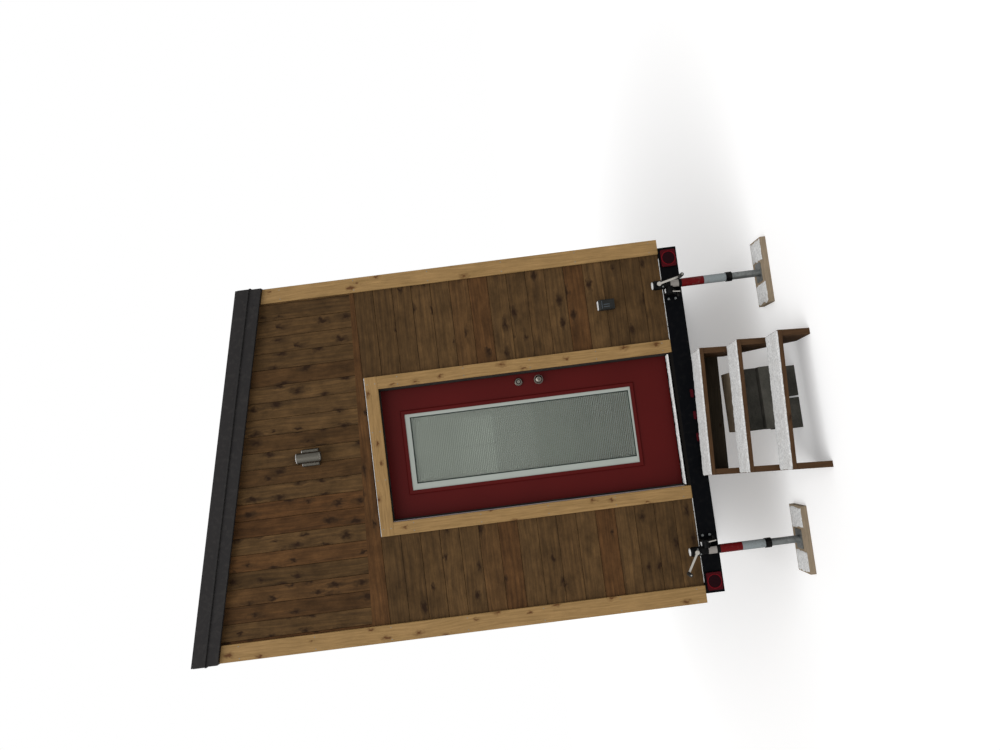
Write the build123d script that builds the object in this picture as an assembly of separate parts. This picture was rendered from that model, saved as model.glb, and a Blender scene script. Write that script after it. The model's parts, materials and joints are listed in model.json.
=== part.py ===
from build123d import *
import math
import os

# A tiny house on a trailer, jacked up level, with its entry steps.
# It is drawn from the middle of the door end, at ground level, in the plane of the siding.
# X points to the low side of the roof, Y from the door end to the tongue, Z up.
# Each solid is then moved along Y, so that the origin lies under the middle of the whole.
# Lengths are in millimetres and angles in degrees.

# House body
siding_width = 2488
siding_length = 6100
wall_thickness = 130
trim_thickness = 19
low_eave_height = 3512
roof_pitch = 12.4
corner_board_wide = 117
corner_board_narrow = 103
floor_thickness = 18

# Trailer frame
frame_top = 696
frame_depth = 127
channel_flange = 52
channel_wall = 8
rail_outer = 940
frame_reach = 1200
beam_proud = 25
crossmember_depth = 76
crossmember_flange = 40
crossmember_spacing = 610
tongue_length = 1300
tongue_beam_width = 60
tongue_tip_width = 30
tongue_tip_length = 130

# Running gear
tyre_diameter = 690
tyre_width = 205
rim_diameter = 381
wheel_spacing = 838
wheel_face = 1232
axle_pair_place = 3150
axle_tube = 76
saddle_length = 300
hub_diameter = 150
hub_length = 110
arch_height = 120
arch_clearance = 90
arch_plate = 5
arch_slope = 150

# Roof
roof_depth = 150
roof_overhang = 30
sheet_thickness = 5
seam_height = 30
seam_width = 14
seam_spacing = 410
fascia_drop = 20
fascia_lower_band = 82
fascia_thickness = 22
hem_height = 12
hem_proud = 12
upper_band_proud = 8
edge_flange = 90
edge_flange_thickness = 5
high_cap_width = 140
high_cap_thickness = 4

# Entry door
door_width = 914
door_height = 2032
door_thickness = 45
door_bottom = 731
door_side_gap = 5
door_sill_gap = 6
jamb_thickness = 19
stop_thickness = 10
stop_depth = 30
stop_gap = 2
door_trim_width = 89
head_trim_cover = 10
sill_nose = 24
hinge_pin_radius = 6.5
hinge_height = 100
hinge_offset = 7
hinge_leaf = 30
hinge_count = 3
hinge_end_distance = 230

# Glass in the door
lite_side_rail = 190
lite_top_rail = 156
lite_face_left = 43
lite_face_right = 23
lite_face_top = 34
lite_face_bottom = 12
lite_frame_proud = 6
lite_lift = 276
moulding_face = 30
moulding_proud = 11
glass_thickness = 20

# Lock
lock_backset = 60
knob_lift = 906
deadbolt_lift = 1048
rose_diameter = 64
rose_thickness = 9
knob_diameter = 55
knob_projection = 62
knob_neck = 24
deadbolt_diameter = 56
deadbolt_projection = 20
knob_clearance = 0.5

# Side windows
window_width = 760
window_height = 915
window_sill_height = 1750
window_frame_face = 45
window_frame_depth = 80
window_glass_thickness = 18
window_places = (1500, 4600)
front_window_width = 915
front_window_height = 610
window_trim_width = 89

# Wall fittings
lamp_x = 50
lamp_height = 3274
lamp_plate_size = 115
lamp_plate_thickness = 28
lamp_diameter = 75
lamp_wall = 3
lamp_recess = 10
lamp_arm_width = 28
lamp_length = 157
lamp_stand_off = 12
outlet_setback = 396
outlet_height = 1106
outlet_width = 71
outlet_tall = 111
outlet_proud = 58
tail_light_x = 1120
tail_light_drop = 63
tail_light_wide = 118
tail_light_tall = 102
tail_light_proud = 24
marker_x = 9
marker_spacing = 152
marker_drop = 93
marker_width = 58
marker_tall = 20
marker_proud = 12

# Steps
steps_x = 19
steps_width = 847
steps_lean = 3.2
steps_turn = 3
steps_setback = 12
steps_pivot = 278
tread_depth = 235
tread_thickness = 26
stringer_thickness = 38
stringer_throat = 137
stringer_foot = 190
tread_nosing = 5
step_run = 260
step_rise = 182
top_tread_drop = 149
apron_thickness = 25
apron_height = 140

# Block stack under the steps
stack_x = 47
stack_front = -400
block_length = 406
block_width = 197
thin_block = 92
deep_block = 143
block_joint = 11
course_shift = 15
top_course_setback = 65
course_gap = 0.2

# Stabiliser jacks
jack_places = (-901, 926)
jack_y = -100
jack_tube_diameter = 57
jack_tube_bore = 49.6
jack_tube_bottom = 234
jack_collar_diameter = 66
jack_collar_height = 41
jack_head_diameter = 64
jack_head_bottom = 700
jack_head_height = 66
jack_cap_height = 12
crank_height = 745
crank_boss_diameter = 34
crank_boss_length = 22
crank_shaft_diameter = 12
crank_shaft_clearance = 0.05
crank_shaft_length = 14
crank_hub_diameter = 30
crank_hub_thickness = 10
crank_arm_length = 150
crank_arm_width = 14
crank_arm_thickness = 8
grip_diameter = 26
grip_length = 78
crank_angles = (149, -77)
leg_clearance = 0.1
leg_wall = 3.2
leg_length = 440
foot_width = 130
foot_depth = 115
foot_thickness = 6
bracket_plate = 8
bracket_height = 105
sleeve_diameter = 60
sleeve_length = 34
lock_pin_diameter = 14
lock_pin_reach = 22
pad_thickness = 38
pad_length = 450
pad_depth = 240

# Tongue end
coupler_length = 330
coupler_width = 76
coupler_height = 70
coupler_ball = 50.8
coupler_socket_depth = 42
tongue_jack_setback = 220
tongue_jack_plate_width = 300
tongue_jack_plate_depth = 110
tongue_jack_plate_thickness = 10
tongue_jack_drop = 120
tongue_jack_diameter = 60
tongue_jack_top = 1030
tongue_jack_foot = 160

# Worked out from the sizes above
half_width = siding_width / 2
half_trim = half_width + trim_thickness
frame_bottom = frame_top - frame_depth
tread_back = -beam_proud - steps_setback
tread_count = 3
turn = math.radians(steps_turn)
steps_reach = (tread_count - 1) * step_run + tread_depth - steps_pivot
turned_reach = steps_reach * math.cos(turn) + steps_width / 2 * math.sin(turn)
steps_front = tread_back - steps_pivot - turned_reach
coupler_y = siding_length + tongue_length
coupler_head_y = coupler_y + coupler_length * 0.62
coupler_head_radius = coupler_width / 2 + 6
middle_y = (steps_front + coupler_head_y + coupler_head_radius) / 2
opening_half = door_width / 2 + door_side_gap
rough_half = opening_half + jamb_thickness
slab_back = wall_thickness
slab_front = slab_back - door_thickness
door_top = door_bottom + door_height
lite_frame_width = door_width - 2 * lite_side_rail
lite_frame_height = door_height - lite_lift - lite_top_rail
head_underside = door_top + door_side_gap
rough_top = head_underside + jamb_thickness
door_trim_top_edge = head_underside - head_trim_cover + door_trim_width
tyre_radius = tyre_diameter / 2
arch_top = frame_top + arch_height
leg_diameter = jack_tube_bore - 2 * leg_clearance
tongue_jack_y = coupler_y - tongue_jack_setback
outlet_x = half_width - outlet_setback
arch_half = wheel_spacing / 2 + tyre_radius + arch_clearance
wall_slope = math.tan(math.radians(roof_pitch))


def block(x_start, x_end, y_start, y_end, z_start, z_end):
    """A rectangular solid between two corners."""
    size = Box(x_end - x_start, y_end - y_start, z_end - z_start)
    return Pos((x_start + x_end) / 2, (y_start + y_end) / 2, (z_start + z_end) / 2) * size


def along_x(outline, x_start, x_end):
    """A solid with a Y-Z outline that runs along X."""
    plane = Plane(origin=(x_start, 0, 0), x_dir=(0, 1, 0), z_dir=(1, 0, 0))
    return extrude(plane * make_face(Polyline(*outline, close=True)), x_end - x_start)


def along_y(outline, y_start, y_end):
    """A solid with an X-Z outline that runs along Y."""
    plane = Plane(origin=(0, y_end, 0), x_dir=(1, 0, 0), z_dir=(0, -1, 0))
    return extrude(plane * make_face(Polyline(*outline, close=True)), y_end - y_start)


def rod(start, direction, diameter, length):
    """A round bar from a start point along a direction."""
    circle = Plane(origin=start, z_dir=direction) * Circle(diameter / 2)
    return extrude(circle, length)


def save(node, solids):
    """Write one node's solids to its own file."""
    shapes = solids if isinstance(solids, list) else [solids]
    pieces = [solid for shape in shapes for solid in shape.solids()]
    placed = [Pos(0, -middle_y, 0) * piece for piece in pieces]
    whole = placed[0] if len(placed) == 1 else Compound(children=placed)
    export_step(whole, f"parts/{node}.step")


def roof_line(x):
    """Height of the roof deck's underside at a place across the house."""
    return low_eave_height + (half_width - x) * wall_slope


def under_roof(x_start, x_end, bottom, drop=0):
    """X-Z outline of a wall from a level foot to the sloping roof, or to a drop below it."""
    return [
        (x_start, bottom),
        (x_end, bottom),
        (x_end, roof_line(x_end) - drop),
        (x_start, roof_line(x_start) - drop),
    ]


def roof_band(x_start, x_end, low, high):
    """X-Z outline of a strip that follows the roof slope between two heights over its underside."""
    return [
        (x_start, roof_line(x_start) + low),
        (x_end, roof_line(x_end) + low),
        (x_end, roof_line(x_end) + high),
        (x_start, roof_line(x_start) + high),
    ]


# Walls and windows


def window_box(side, y_middle):
    """Corners in Y and Z of one side window's hole."""
    y_low = y_middle - window_width / 2
    y_high = y_middle + window_width / 2
    return y_low, y_high, window_sill_height, window_sill_height + window_height


def arch_outline(inset):
    """Y-Z outline of the wheel arch, drawn in by an inset."""
    foot = arch_half - inset
    shoulder = foot - arch_slope
    top = arch_top - inset
    middle = axle_pair_place
    return [
        (middle - foot, frame_bottom),
        (middle + foot, frame_bottom),
        (middle + foot, frame_top),
        (middle + shoulder, top),
        (middle - shoulder, top),
        (middle - foot, frame_top),
    ]


def side_wall(side):
    """One long wall with its two windows and its wheel arch cut out."""
    inner = half_width - wall_thickness
    x_start, x_end = sorted((side * inner, side * half_width))
    y_start, y_end = wall_thickness, siding_length - wall_thickness
    wall = along_y(under_roof(x_start, x_end, frame_top), y_start, y_end)
    for place in window_places:
        y_low, y_high, z_low, z_high = window_box(side, place)
        wall -= block(x_start - 1, x_end + 1, y_low, y_high, z_low, z_high)
    return wall - along_x(arch_outline(0), x_start - 1, x_end + 1)


def front_window_corners():
    """Corners in X and Z of the window in the tongue-end wall."""
    z_low = window_sill_height + window_height - front_window_height
    return -front_window_width / 2, front_window_width / 2, z_low, z_low + front_window_height


def front_wall():
    """The tongue-end wall with its window cut out."""
    y_start, y_end = siding_length - wall_thickness, siding_length
    wall = along_y(under_roof(-half_width, half_width, frame_top), y_start, y_end)
    x_low, x_high, z_low, z_high = front_window_corners()
    return wall - block(x_low, x_high, y_start - 1, y_end + 1, z_low, z_high)


def side_window_frame(side, y_middle):
    """Sash frame of one side window, flush with the siding."""
    y_low, y_high, z_low, z_high = window_box(side, y_middle)
    x_start, x_end = sorted((side * half_width, side * (half_width - window_frame_depth)))
    frame = block(x_start, x_end, y_low, y_high, z_low, z_high)
    face = window_frame_face
    return frame - block(x_start - 1, x_end + 1, y_low + face, y_high - face, z_low + face, z_high - face)


def side_window_glass(side, y_middle):
    """Sealed glass unit of one side window."""
    y_low, y_high, z_low, z_high = window_box(side, y_middle)
    middle = half_width - window_frame_depth / 2
    x_start, x_end = sorted(side * (middle + half * window_glass_thickness / 2) for half in (-1, 1))
    face = window_frame_face
    return block(x_start, x_end, y_low + face, y_high - face, z_low + face, z_high - face)


def front_window_frame():
    """Sash frame of the tongue-end window."""
    x_low, x_high, z_low, z_high = front_window_corners()
    y_start, y_end = siding_length - window_frame_depth, siding_length
    face = window_frame_face
    frame = block(x_low, x_high, y_start, y_end, z_low, z_high)
    return frame - block(x_low + face, x_high - face, y_start - 1, y_end + 1, z_low + face, z_high - face)


def front_window_glass():
    """Sealed glass unit of the tongue-end window."""
    x_low, x_high, z_low, z_high = front_window_corners()
    middle = siding_length - window_frame_depth / 2
    half = window_glass_thickness / 2
    face = window_frame_face
    return block(x_low + face, x_high - face, middle - half, middle + half, z_low + face, z_high - face)


def side_window_trim(side, y_middle):
    """Boards round one side window, joined into a frame on the siding."""
    y_low, y_high, z_low, z_high = window_box(side, y_middle)
    x_start, x_end = sorted((side * half_width, side * half_trim))
    width = window_trim_width
    boards = block(x_start, x_end, y_low - width, y_high + width, z_low - width, z_high + width)
    return boards - block(x_start - 1, x_end + 1, y_low, y_high, z_low, z_high)


def front_window_trim():
    """Boards round the tongue-end window, joined into a frame on the siding."""
    x_low, x_high, z_low, z_high = front_window_corners()
    y_start, y_end = siding_length, siding_length + trim_thickness
    width = window_trim_width
    boards = block(x_low - width, x_high + width, y_start, y_end, z_low - width, z_high + width)
    return boards - block(x_low, x_high, y_start - 1, y_end + 1, z_low, z_high)


def end_corner_boards(y_start, y_end):
    """The two upright boards on the face of an end wall."""
    left = under_roof(-half_trim, -half_trim + corner_board_wide, frame_top, fascia_drop)
    right = under_roof(half_trim - corner_board_narrow, half_trim, frame_top, fascia_drop)
    return [along_y(left, y_start, y_end), along_y(right, y_start, y_end)]


def side_corner_boards():
    """The four upright boards on the faces of the long walls, behind the end boards."""
    boards = []
    for side in (-1, 1):
        x_start, x_end = sorted((side * half_width, side * half_trim))
        outline = under_roof(x_start, x_end, frame_top, fascia_drop)
        for y_start in (0, siding_length - corner_board_narrow):
            boards.append(along_y(outline, y_start, y_start + corner_board_narrow))
    return boards


def floor_deck():
    """Plywood floor between the walls, notched round the wheel boxes."""
    inner = half_width - wall_thickness
    y_start, y_end = wall_thickness, siding_length - wall_thickness
    deck = block(-inner, inner, y_start, y_end, frame_top, frame_top + floor_thickness)
    notch_low = axle_pair_place - arch_half
    notch_high = axle_pair_place + arch_half
    for side in (-1, 1):
        x_start, x_end = sorted((side * rail_outer, side * (inner + 1)))
        top = frame_top + floor_thickness + 1
        deck -= block(x_start, x_end, notch_low, notch_high, frame_top - 1, top)
    return deck


# Roof


def roof_sheet():
    """Sheet metal roof with its standing seams running down the slope."""
    start, end = -roof_overhang, siding_length + roof_overhang
    sheet = along_y(roof_band(-half_width, half_width, roof_depth, roof_depth + sheet_thickness), start, end)
    top = roof_depth + sheet_thickness
    start_x, end_x = -half_width + high_cap_width + 1, half_width - edge_flange
    seam = roof_band(start_x, end_x, top, top + seam_height)
    count = int((siding_length - 2 * edge_flange) / seam_spacing)
    first = (siding_length - count * seam_spacing) / 2
    for number in range(count + 1):
        middle = first + number * seam_spacing
        sheet += along_y(seam, middle - seam_width / 2, middle + seam_width / 2)
    return sheet


def end_fascia(outward, wall_end):
    """Two-band metal edge over an end wall, with a hem between its bands and a flange on the roof."""
    back = wall_end + outward * roof_overhang
    reach = half_width + fascia_thickness
    seat = fascia_lower_band - fascia_drop
    top = roof_depth + sheet_thickness

    def band(low, high, thickness):
        y_start, y_end = sorted((back, back + outward * thickness))
        return along_y(roof_band(-reach, reach, low, high), y_start, y_end)

    lower = band(-fascia_drop, seat, fascia_thickness)
    hem = band(seat, seat + hem_height, fascia_thickness + hem_proud)
    upper = band(seat + hem_height, top, fascia_thickness + upper_band_proud)
    face = back + outward * (fascia_thickness + upper_band_proud)
    y_start, y_end = sorted((face, back - outward * edge_flange))
    flange = along_y(roof_band(-reach, reach, top, top + edge_flange_thickness), y_start, y_end)
    return lower + hem + upper + flange


def side_fascia(side):
    """Two-band metal edge over a long wall."""
    start, end = -roof_overhang, siding_length + roof_overhang
    seat = fascia_lower_band - fascia_drop
    inner = side * half_width
    bands = []
    for low, high, thickness in (
        (-fascia_drop, seat, fascia_thickness),
        (seat, seat + hem_height, fascia_thickness + hem_proud),
        (seat + hem_height, roof_depth + sheet_thickness, fascia_thickness + upper_band_proud),
    ):
        x_start, x_end = sorted((inner, inner + side * thickness))
        bands.append(along_y(roof_band(x_start, x_end, low, high), start, end))
    return bands[0] + bands[1] + bands[2]


def high_cap():
    """Folded cap along the high edge, lying on the roof sheet and on the high side's metal edge."""
    start = -roof_overhang + edge_flange
    end = siding_length + roof_overhang - edge_flange
    top = roof_depth + sheet_thickness
    reach = half_width + fascia_thickness
    outline = roof_band(-reach, -half_width + high_cap_width, top, top + high_cap_thickness)
    return along_y(outline, start, end)


# Door


def door_jambs():
    """Side jambs with their stops, one on each side of the doorway."""
    jambs = []
    stop_end = slab_front - stop_gap
    for side in (-1, 1):
        x_start, x_end = sorted((side * opening_half, side * rough_half))
        jamb = block(x_start, x_end, 0, wall_thickness, frame_top, rough_top)
        x_start, x_end = sorted((side * opening_half, side * (opening_half - stop_thickness)))
        jamb += block(x_start, x_end, stop_end - stop_depth, stop_end, door_bottom, head_underside)
        jambs.append(jamb)
    return jambs


def door_head():
    """Head jamb with its stop, between the side jambs."""
    stop_end = slab_front - stop_gap
    head = block(-opening_half, opening_half, 0, wall_thickness, head_underside, rough_top)
    inner = opening_half - stop_thickness
    low = head_underside - stop_thickness
    stop = block(-inner, inner, stop_end - stop_depth, stop_end, low, head_underside)
    return head + stop


def door_sill():
    """Metal threshold with a nose that covers the floor's edge."""
    top = door_bottom - door_sill_gap
    slope = top - 10
    outline = [
        (-sill_nose, frame_top),
        (wall_thickness, frame_top),
        (wall_thickness, top),
        (slab_front, top),
        (-sill_nose, slope),
    ]
    return along_x(outline, -opening_half, opening_half)


def door_side_trims():
    """Boards beside the doorway."""
    inner = opening_half + 1
    outer = inner + door_trim_width
    top = door_trim_top_edge - door_trim_width
    return [
        block(-outer, -inner, -trim_thickness, 0, frame_top, top),
        block(inner, outer, -trim_thickness, 0, frame_top, top),
    ]


def door_head_trim():
    """Board over the doorway, across the tops of the side boards."""
    outer = opening_half + 1 + door_trim_width
    low = door_trim_top_edge - door_trim_width
    return block(-outer, outer, -trim_thickness, 0, low, door_trim_top_edge)


def door_hinges():
    """Hinge barrels on the room side of the hinge jamb."""
    barrels = []
    x = -opening_half + door_side_gap / 2
    reach = door_height - 2 * hinge_end_distance
    for number in range(hinge_count):
        low = door_bottom + hinge_end_distance + number * reach / (hinge_count - 1) - hinge_height / 2
        pin = rod((x, slab_back + hinge_offset, low), (0, 0, 1), 2 * hinge_pin_radius, hinge_height)
        leaf = block(x - hinge_leaf, x - 4, slab_back, slab_back + 3, low, low + hinge_height)
        barrels.append(pin + leaf)
    return barrels


def lite_hole(margin, y_start, y_end):
    """A block as large as the door's glazed hole plus a margin all round."""
    half = lite_frame_width / 2 + margin
    low = door_bottom + lite_lift - margin
    high = door_bottom + lite_lift + lite_frame_height + margin
    return block(-half, half, y_start, y_end, low, high)


def lite_sight(y_start, y_end):
    """A block as large as the opening inside the pale frame, which is wider on the hinge side."""
    half = lite_frame_width / 2
    low = door_bottom + lite_lift + lite_face_bottom
    high = door_bottom + lite_lift + lite_frame_height - lite_face_top
    return block(-half + lite_face_left, half - lite_face_right, y_start, y_end, low, high)


def door_slab():
    """The door leaf with its glazed hole and its raised moulding on both faces."""
    leaf = block(-door_width / 2, door_width / 2, slab_front, slab_back, door_bottom, door_top)
    raised = lite_hole(moulding_face, slab_front - moulding_proud, slab_back + moulding_proud)
    rims = raised.edges().filter_by(Axis.Y, reverse=True)
    leaf += chamfer(rims, moulding_proud * 0.6)
    return leaf - lite_hole(0, slab_front - 2 * moulding_proud, slab_back + 2 * moulding_proud)


def door_lite_frame():
    """Pale glazing frame that fills the hole and stands a little proud of the leaf."""
    y_start, y_end = slab_front - lite_frame_proud, slab_back + lite_frame_proud
    return lite_hole(0, y_start, y_end) - lite_sight(y_start - 1, y_end + 1)


def door_glass():
    """Sealed glass unit of the door."""
    middle = (slab_front + slab_back) / 2
    half = glass_thickness / 2
    return lite_sight(middle - half, middle + half)


def lock_x():
    """Place of the lock's centre line across the door."""
    return door_width / 2 - lock_backset


def knob_roses():
    """Round plates behind the knobs and the deadbolt's cylinder, on both faces of the door."""
    height = door_bottom + knob_lift
    outer = rod((lock_x(), slab_front, height), (0, -1, 0), rose_diameter, rose_thickness)
    inner = rod((lock_x(), slab_back, height), (0, 1, 0), rose_diameter, rose_thickness)
    bolt_height = door_bottom + deadbolt_lift
    cylinder = rod((lock_x(), slab_front, bolt_height), (0, -1, 0), deadbolt_diameter, deadbolt_projection)
    cylinder = chamfer(cylinder.edges().group_by(Axis.Y)[0], 6)
    turn_plate = rod((lock_x(), slab_back, bolt_height), (0, 1, 0), deadbolt_diameter, rose_thickness)
    return [outer, inner, cylinder, turn_plate]


def knob(face, outward):
    """A round knob with its neck, turned from one profile."""
    gap = rose_thickness + knob_clearance
    radius = knob_diameter / 2
    neck = knob_neck / 2
    depth = knob_projection - gap
    with BuildSketch(Plane.XZ) as half:
        with BuildLine():
            Polyline((0, 0), (neck, 0), (neck, depth * 0.35))
            Spline((neck, depth * 0.35), (radius, depth * 0.66), (radius * 0.62, depth), (0, depth))
            Line((0, depth), (0, 0))
        make_face()
    turned = revolve(half.sketch, Axis.Z)
    height = door_bottom + knob_lift
    seat = Plane(origin=(lock_x(), face + outward * gap, height), x_dir=(1, 0, 0), z_dir=(0, outward, 0))
    return seat.location * turned


# Trailer


def channel_along_x(x_start, x_end, web_face, opens, depth, flange):
    """A channel section that runs along X, with its web at web_face and its flanges towards opens."""
    y_outer = web_face
    y_web = web_face + opens * channel_wall
    y_end = web_face + opens * flange
    low, high = frame_top - depth, frame_top
    outline = [
        (y_outer, low),
        (y_end, low),
        (y_end, low + channel_wall),
        (y_web, low + channel_wall),
        (y_web, high - channel_wall),
        (y_end, high - channel_wall),
        (y_end, high),
        (y_outer, high),
    ]
    return along_x(outline, x_start, x_end)


def rail(side):
    """One main rail, a channel that opens to the middle of the trailer."""
    outer = side * rail_outer
    web = side * (rail_outer - channel_wall)
    inner = side * (rail_outer - channel_flange)
    low, high = frame_bottom, frame_top
    outline = [
        (outer, low),
        (inner, low),
        (inner, low + channel_wall),
        (web, low + channel_wall),
        (web, high - channel_wall),
        (inner, high - channel_wall),
        (inner, high),
        (outer, high),
    ]
    return along_y(outline, -beam_proud + channel_flange, siding_length - channel_flange)


def crossmember_places():
    """Places along the trailer of its crossmembers."""
    count = int((siding_length - 2 * channel_flange) / crossmember_spacing)
    step = siding_length / (count + 1)
    return [number * step for number in range(1, count + 1)]


def crossmembers():
    """Light channels between the main rails."""
    inner = rail_outer - channel_flange
    return [
        channel_along_x(-inner, inner, place, 1, crossmember_depth, crossmember_flange)
        for place in crossmember_places()
    ]


def outriggers():
    """Tapered brackets that carry the long walls outside the main rails."""
    brackets = []
    for place in crossmember_places():
        if abs(place - axle_pair_place) < arch_half + crossmember_flange:
            continue
        for side in (-1, 1):
            outline = [
                (side * rail_outer, frame_top),
                (side * frame_reach, frame_top),
                (side * frame_reach, frame_top - 40),
                (side * rail_outer, frame_bottom),
            ]
            brackets.append(along_y(outline, place, place + channel_wall))
    return brackets


def wheel_arch(side):
    """Folded steel box over one pair of wheels, open below and outwards."""
    x_start, x_end = sorted((side * rail_outer, side * half_width))
    shell = along_x(arch_outline(0), x_start, x_end)
    hollow_start, hollow_end = sorted((side * (rail_outer + arch_plate), side * (half_width + 1)))
    shell -= along_x(arch_outline(arch_plate), hollow_start, hollow_end)
    low = axle_pair_place - arch_half - 1
    high = axle_pair_place + arch_half + 1
    return shell - block(x_start - 1, x_end + 1, low, high, frame_bottom - 1, frame_top - 1)


def axle_places():
    """Places along the trailer of its two axles."""
    return [axle_pair_place - wheel_spacing / 2, axle_pair_place + wheel_spacing / 2]


def wheel_centre_x():
    """Place across the trailer of a wheel's middle plane."""
    return wheel_face - tyre_width / 2


def tyre(side, place):
    """One tyre with rounded shoulders, turned from its section."""
    half = tyre_width / 2
    inner = rim_diameter / 2
    section = Pos((tyre_radius + inner) / 2, 0) * Rectangle(tyre_radius - inner, tyre_width)
    section = fillet(section.vertices(), half * 0.32)
    turned = revolve(Plane.XZ * section, Axis.Z)
    return Pos(side * wheel_centre_x(), place, tyre_radius) * Rot(0, 90, 0) * turned


def wheel_rim(side, place):
    """One steel wheel: a rim barrel with a dished disc."""
    barrel = Cylinder(rim_diameter / 2, tyre_width * 0.86) - Cylinder(rim_diameter / 2 - 8, tyre_width)
    disc = Pos(0, 0, tyre_width * 0.12) * Cylinder(rim_diameter / 2 - 8, 10)
    disc -= Pos(0, 0, tyre_width * 0.12) * Cylinder(hub_diameter / 2, 12)
    turned = barrel + disc
    return Pos(side * wheel_centre_x(), place, tyre_radius) * Rot(0, side * 90, 0) * turned


def axle(place):
    """One axle tube with its hubs and with the saddles that bolt it to the main rails."""
    face = wheel_centre_x() + tyre_width * 0.12 + 30
    whole = rod((-face + 90, place, tyre_radius), (1, 0, 0), axle_tube, 2 * (face - 90))
    seat_low = tyre_radius - axle_tube / 4
    outline = [
        (place - saddle_length / 2, frame_bottom),
        (place - saddle_length / 6, seat_low),
        (place + saddle_length / 6, seat_low),
        (place + saddle_length / 2, frame_bottom),
    ]
    for side in (-1, 1):
        whole += rod((side * face, place, tyre_radius), (-side, 0, 0), hub_diameter, hub_length)
        x_start, x_end = sorted((side * (rail_outer - channel_flange), side * (rail_outer - 4)))
        whole += along_x(outline, x_start, x_end)
    return whole


def tongue_beam(side):
    """One side of the drawbar's A-frame, from the front beam to the coupler."""
    start_y = siding_length
    tip_y = siding_length + tongue_length
    foot = rail_outer - 30
    tip = coupler_width / 2
    outline = [
        (side * foot, start_y),
        (side * (foot - tongue_beam_width * 1.25), start_y),
        (side * (tip - tongue_tip_width), tip_y - tongue_tip_length),
        (side * (tip - tongue_tip_width), tip_y),
        (side * tip, tip_y),
    ]
    plane = Plane.XY.offset(frame_bottom)
    return extrude(plane * make_face(Polyline(*outline, close=True)), frame_depth)


def coupler():
    """Coupler head with its ball socket."""
    low = frame_top - coupler_height - 20
    half = coupler_width / 2
    neck = block(-half, half, coupler_y, coupler_head_y, low, low + coupler_height)
    head = Pos(0, coupler_head_y, low + coupler_height / 2) * Cylinder(coupler_head_radius, coupler_height)
    socket = rod((0, coupler_head_y, low), (0, 0, 1), coupler_ball, coupler_socket_depth)
    return neck + head - socket


def tongue_jack():
    """Drawbar jack: tube on its plate over the two beams, leg and foot."""
    y = tongue_jack_y
    tube_foot = frame_bottom - tongue_jack_drop
    tube = rod((0, y, tube_foot), (0, 0, 1), tongue_jack_diameter, tongue_jack_top - tube_foot)
    leg = rod((0, y, 10), (0, 0, 1), tongue_jack_diameter - 12, tube_foot)
    half = tongue_jack_foot / 2
    foot = block(-half, half, y - half, y + half, 0, 10)
    half_x, half_y = tongue_jack_plate_width / 2, tongue_jack_plate_depth / 2
    plate_top = frame_top + tongue_jack_plate_thickness
    plate = block(-half_x, half_x, y - half_y, y + half_y, frame_top, plate_top)
    return tube + leg + foot + plate


# Lights and fittings


def tail_lights():
    """Square lamps on the ends of the rear beam."""
    lamps = []
    half = tail_light_wide / 2
    face = -beam_proud - tail_light_proud
    low = frame_top - tail_light_drop - tail_light_tall / 2
    for side in (-1, 1):
        x = side * tail_light_x
        lamp = block(x - half, x + half, face, -beam_proud, low, low + tail_light_tall)
        lamps.append(fillet(lamp.edges().filter_by(Axis.Y), 10))
    return lamps


def marker_lights():
    """Three small lamps in a row in the middle of the rear beam."""
    lamps = []
    for number in (-1, 0, 1):
        x = marker_x + number * marker_spacing
        z = frame_top - marker_drop
        lamp = block(
            x - marker_width / 2, x + marker_width / 2,
            -beam_proud - marker_proud, -beam_proud,
            z - marker_tall / 2, z + marker_tall / 2,
        )
        lamps.append(fillet(lamp.edges().filter_by(Axis.Y), 8))
    return lamps


def wall_lamp():
    """Cylinder of the wall lamp with its recessed ends, its arm and its square back plate."""
    y = -lamp_plate_thickness - lamp_stand_off - lamp_diameter / 2
    foot = lamp_height - lamp_length / 2
    shade = rod((lamp_x, y, foot), (0, 0, 1), lamp_diameter, lamp_length)
    inner = lamp_diameter - 2 * lamp_wall
    shade -= rod((lamp_x, y, foot), (0, 0, 1), inner, lamp_recess)
    shade -= rod((lamp_x, y, foot + lamp_length), (0, 0, -1), inner, lamp_recess)
    half = lamp_arm_width / 2
    arm_start = y + lamp_diameter / 2 - 4
    low, high = lamp_height - half, lamp_height + half
    arm = block(lamp_x - half, lamp_x + half, arm_start, -lamp_plate_thickness, low, high)
    half = lamp_plate_size / 2
    low, high = lamp_height - half, lamp_height + half
    plate = block(lamp_x - half, lamp_x + half, -lamp_plate_thickness, 0, low, high)
    return shade + arm + chamfer(plate.faces().sort_by(Axis.Y)[0].edges(), 5)


def outlet_box():
    """Covered socket box on the end wall."""
    half = outlet_width / 2
    low = outlet_height - outlet_tall / 2
    high = low + outlet_tall
    outline = [
        (0, low),
        (-outlet_proud, low),
        (-outlet_proud, high - 14),
        (-outlet_proud + 12, high),
        (0, high),
    ]
    box = along_x(outline, outlet_x - half, outlet_x + half)
    return fillet(box.edges().filter_by(Axis.Z).sort_by(Axis.Y)[0:2], 6)


# Steps


def leaned(shape):
    """Tip a piece of the steps to the low side, turn it a little, and trim it at the ground."""
    pivot = (steps_x, tread_back - steps_pivot, tread_top(1))
    tipped = Rot(0, 0, steps_turn) * Rot(0, steps_lean, 0) * Pos(-pivot[0], -pivot[1], -pivot[2]) * shape
    below_ground = Pos(0, 0, -siding_width) * Box(siding_width, 2 * siding_width, 2 * siding_width)
    return Pos(*pivot) * tipped - below_ground


def tread_top(number):
    """Height of a tread's top, counted from the top step."""
    return door_bottom - top_tread_drop - number * step_rise


def tread(number):
    """One tread board."""
    back = tread_back - number * step_run
    top = tread_top(number)
    half = steps_width / 2
    board = block(steps_x - half, steps_x + half, back - tread_depth, back, top - tread_thickness, top)
    return leaned(board)


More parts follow.
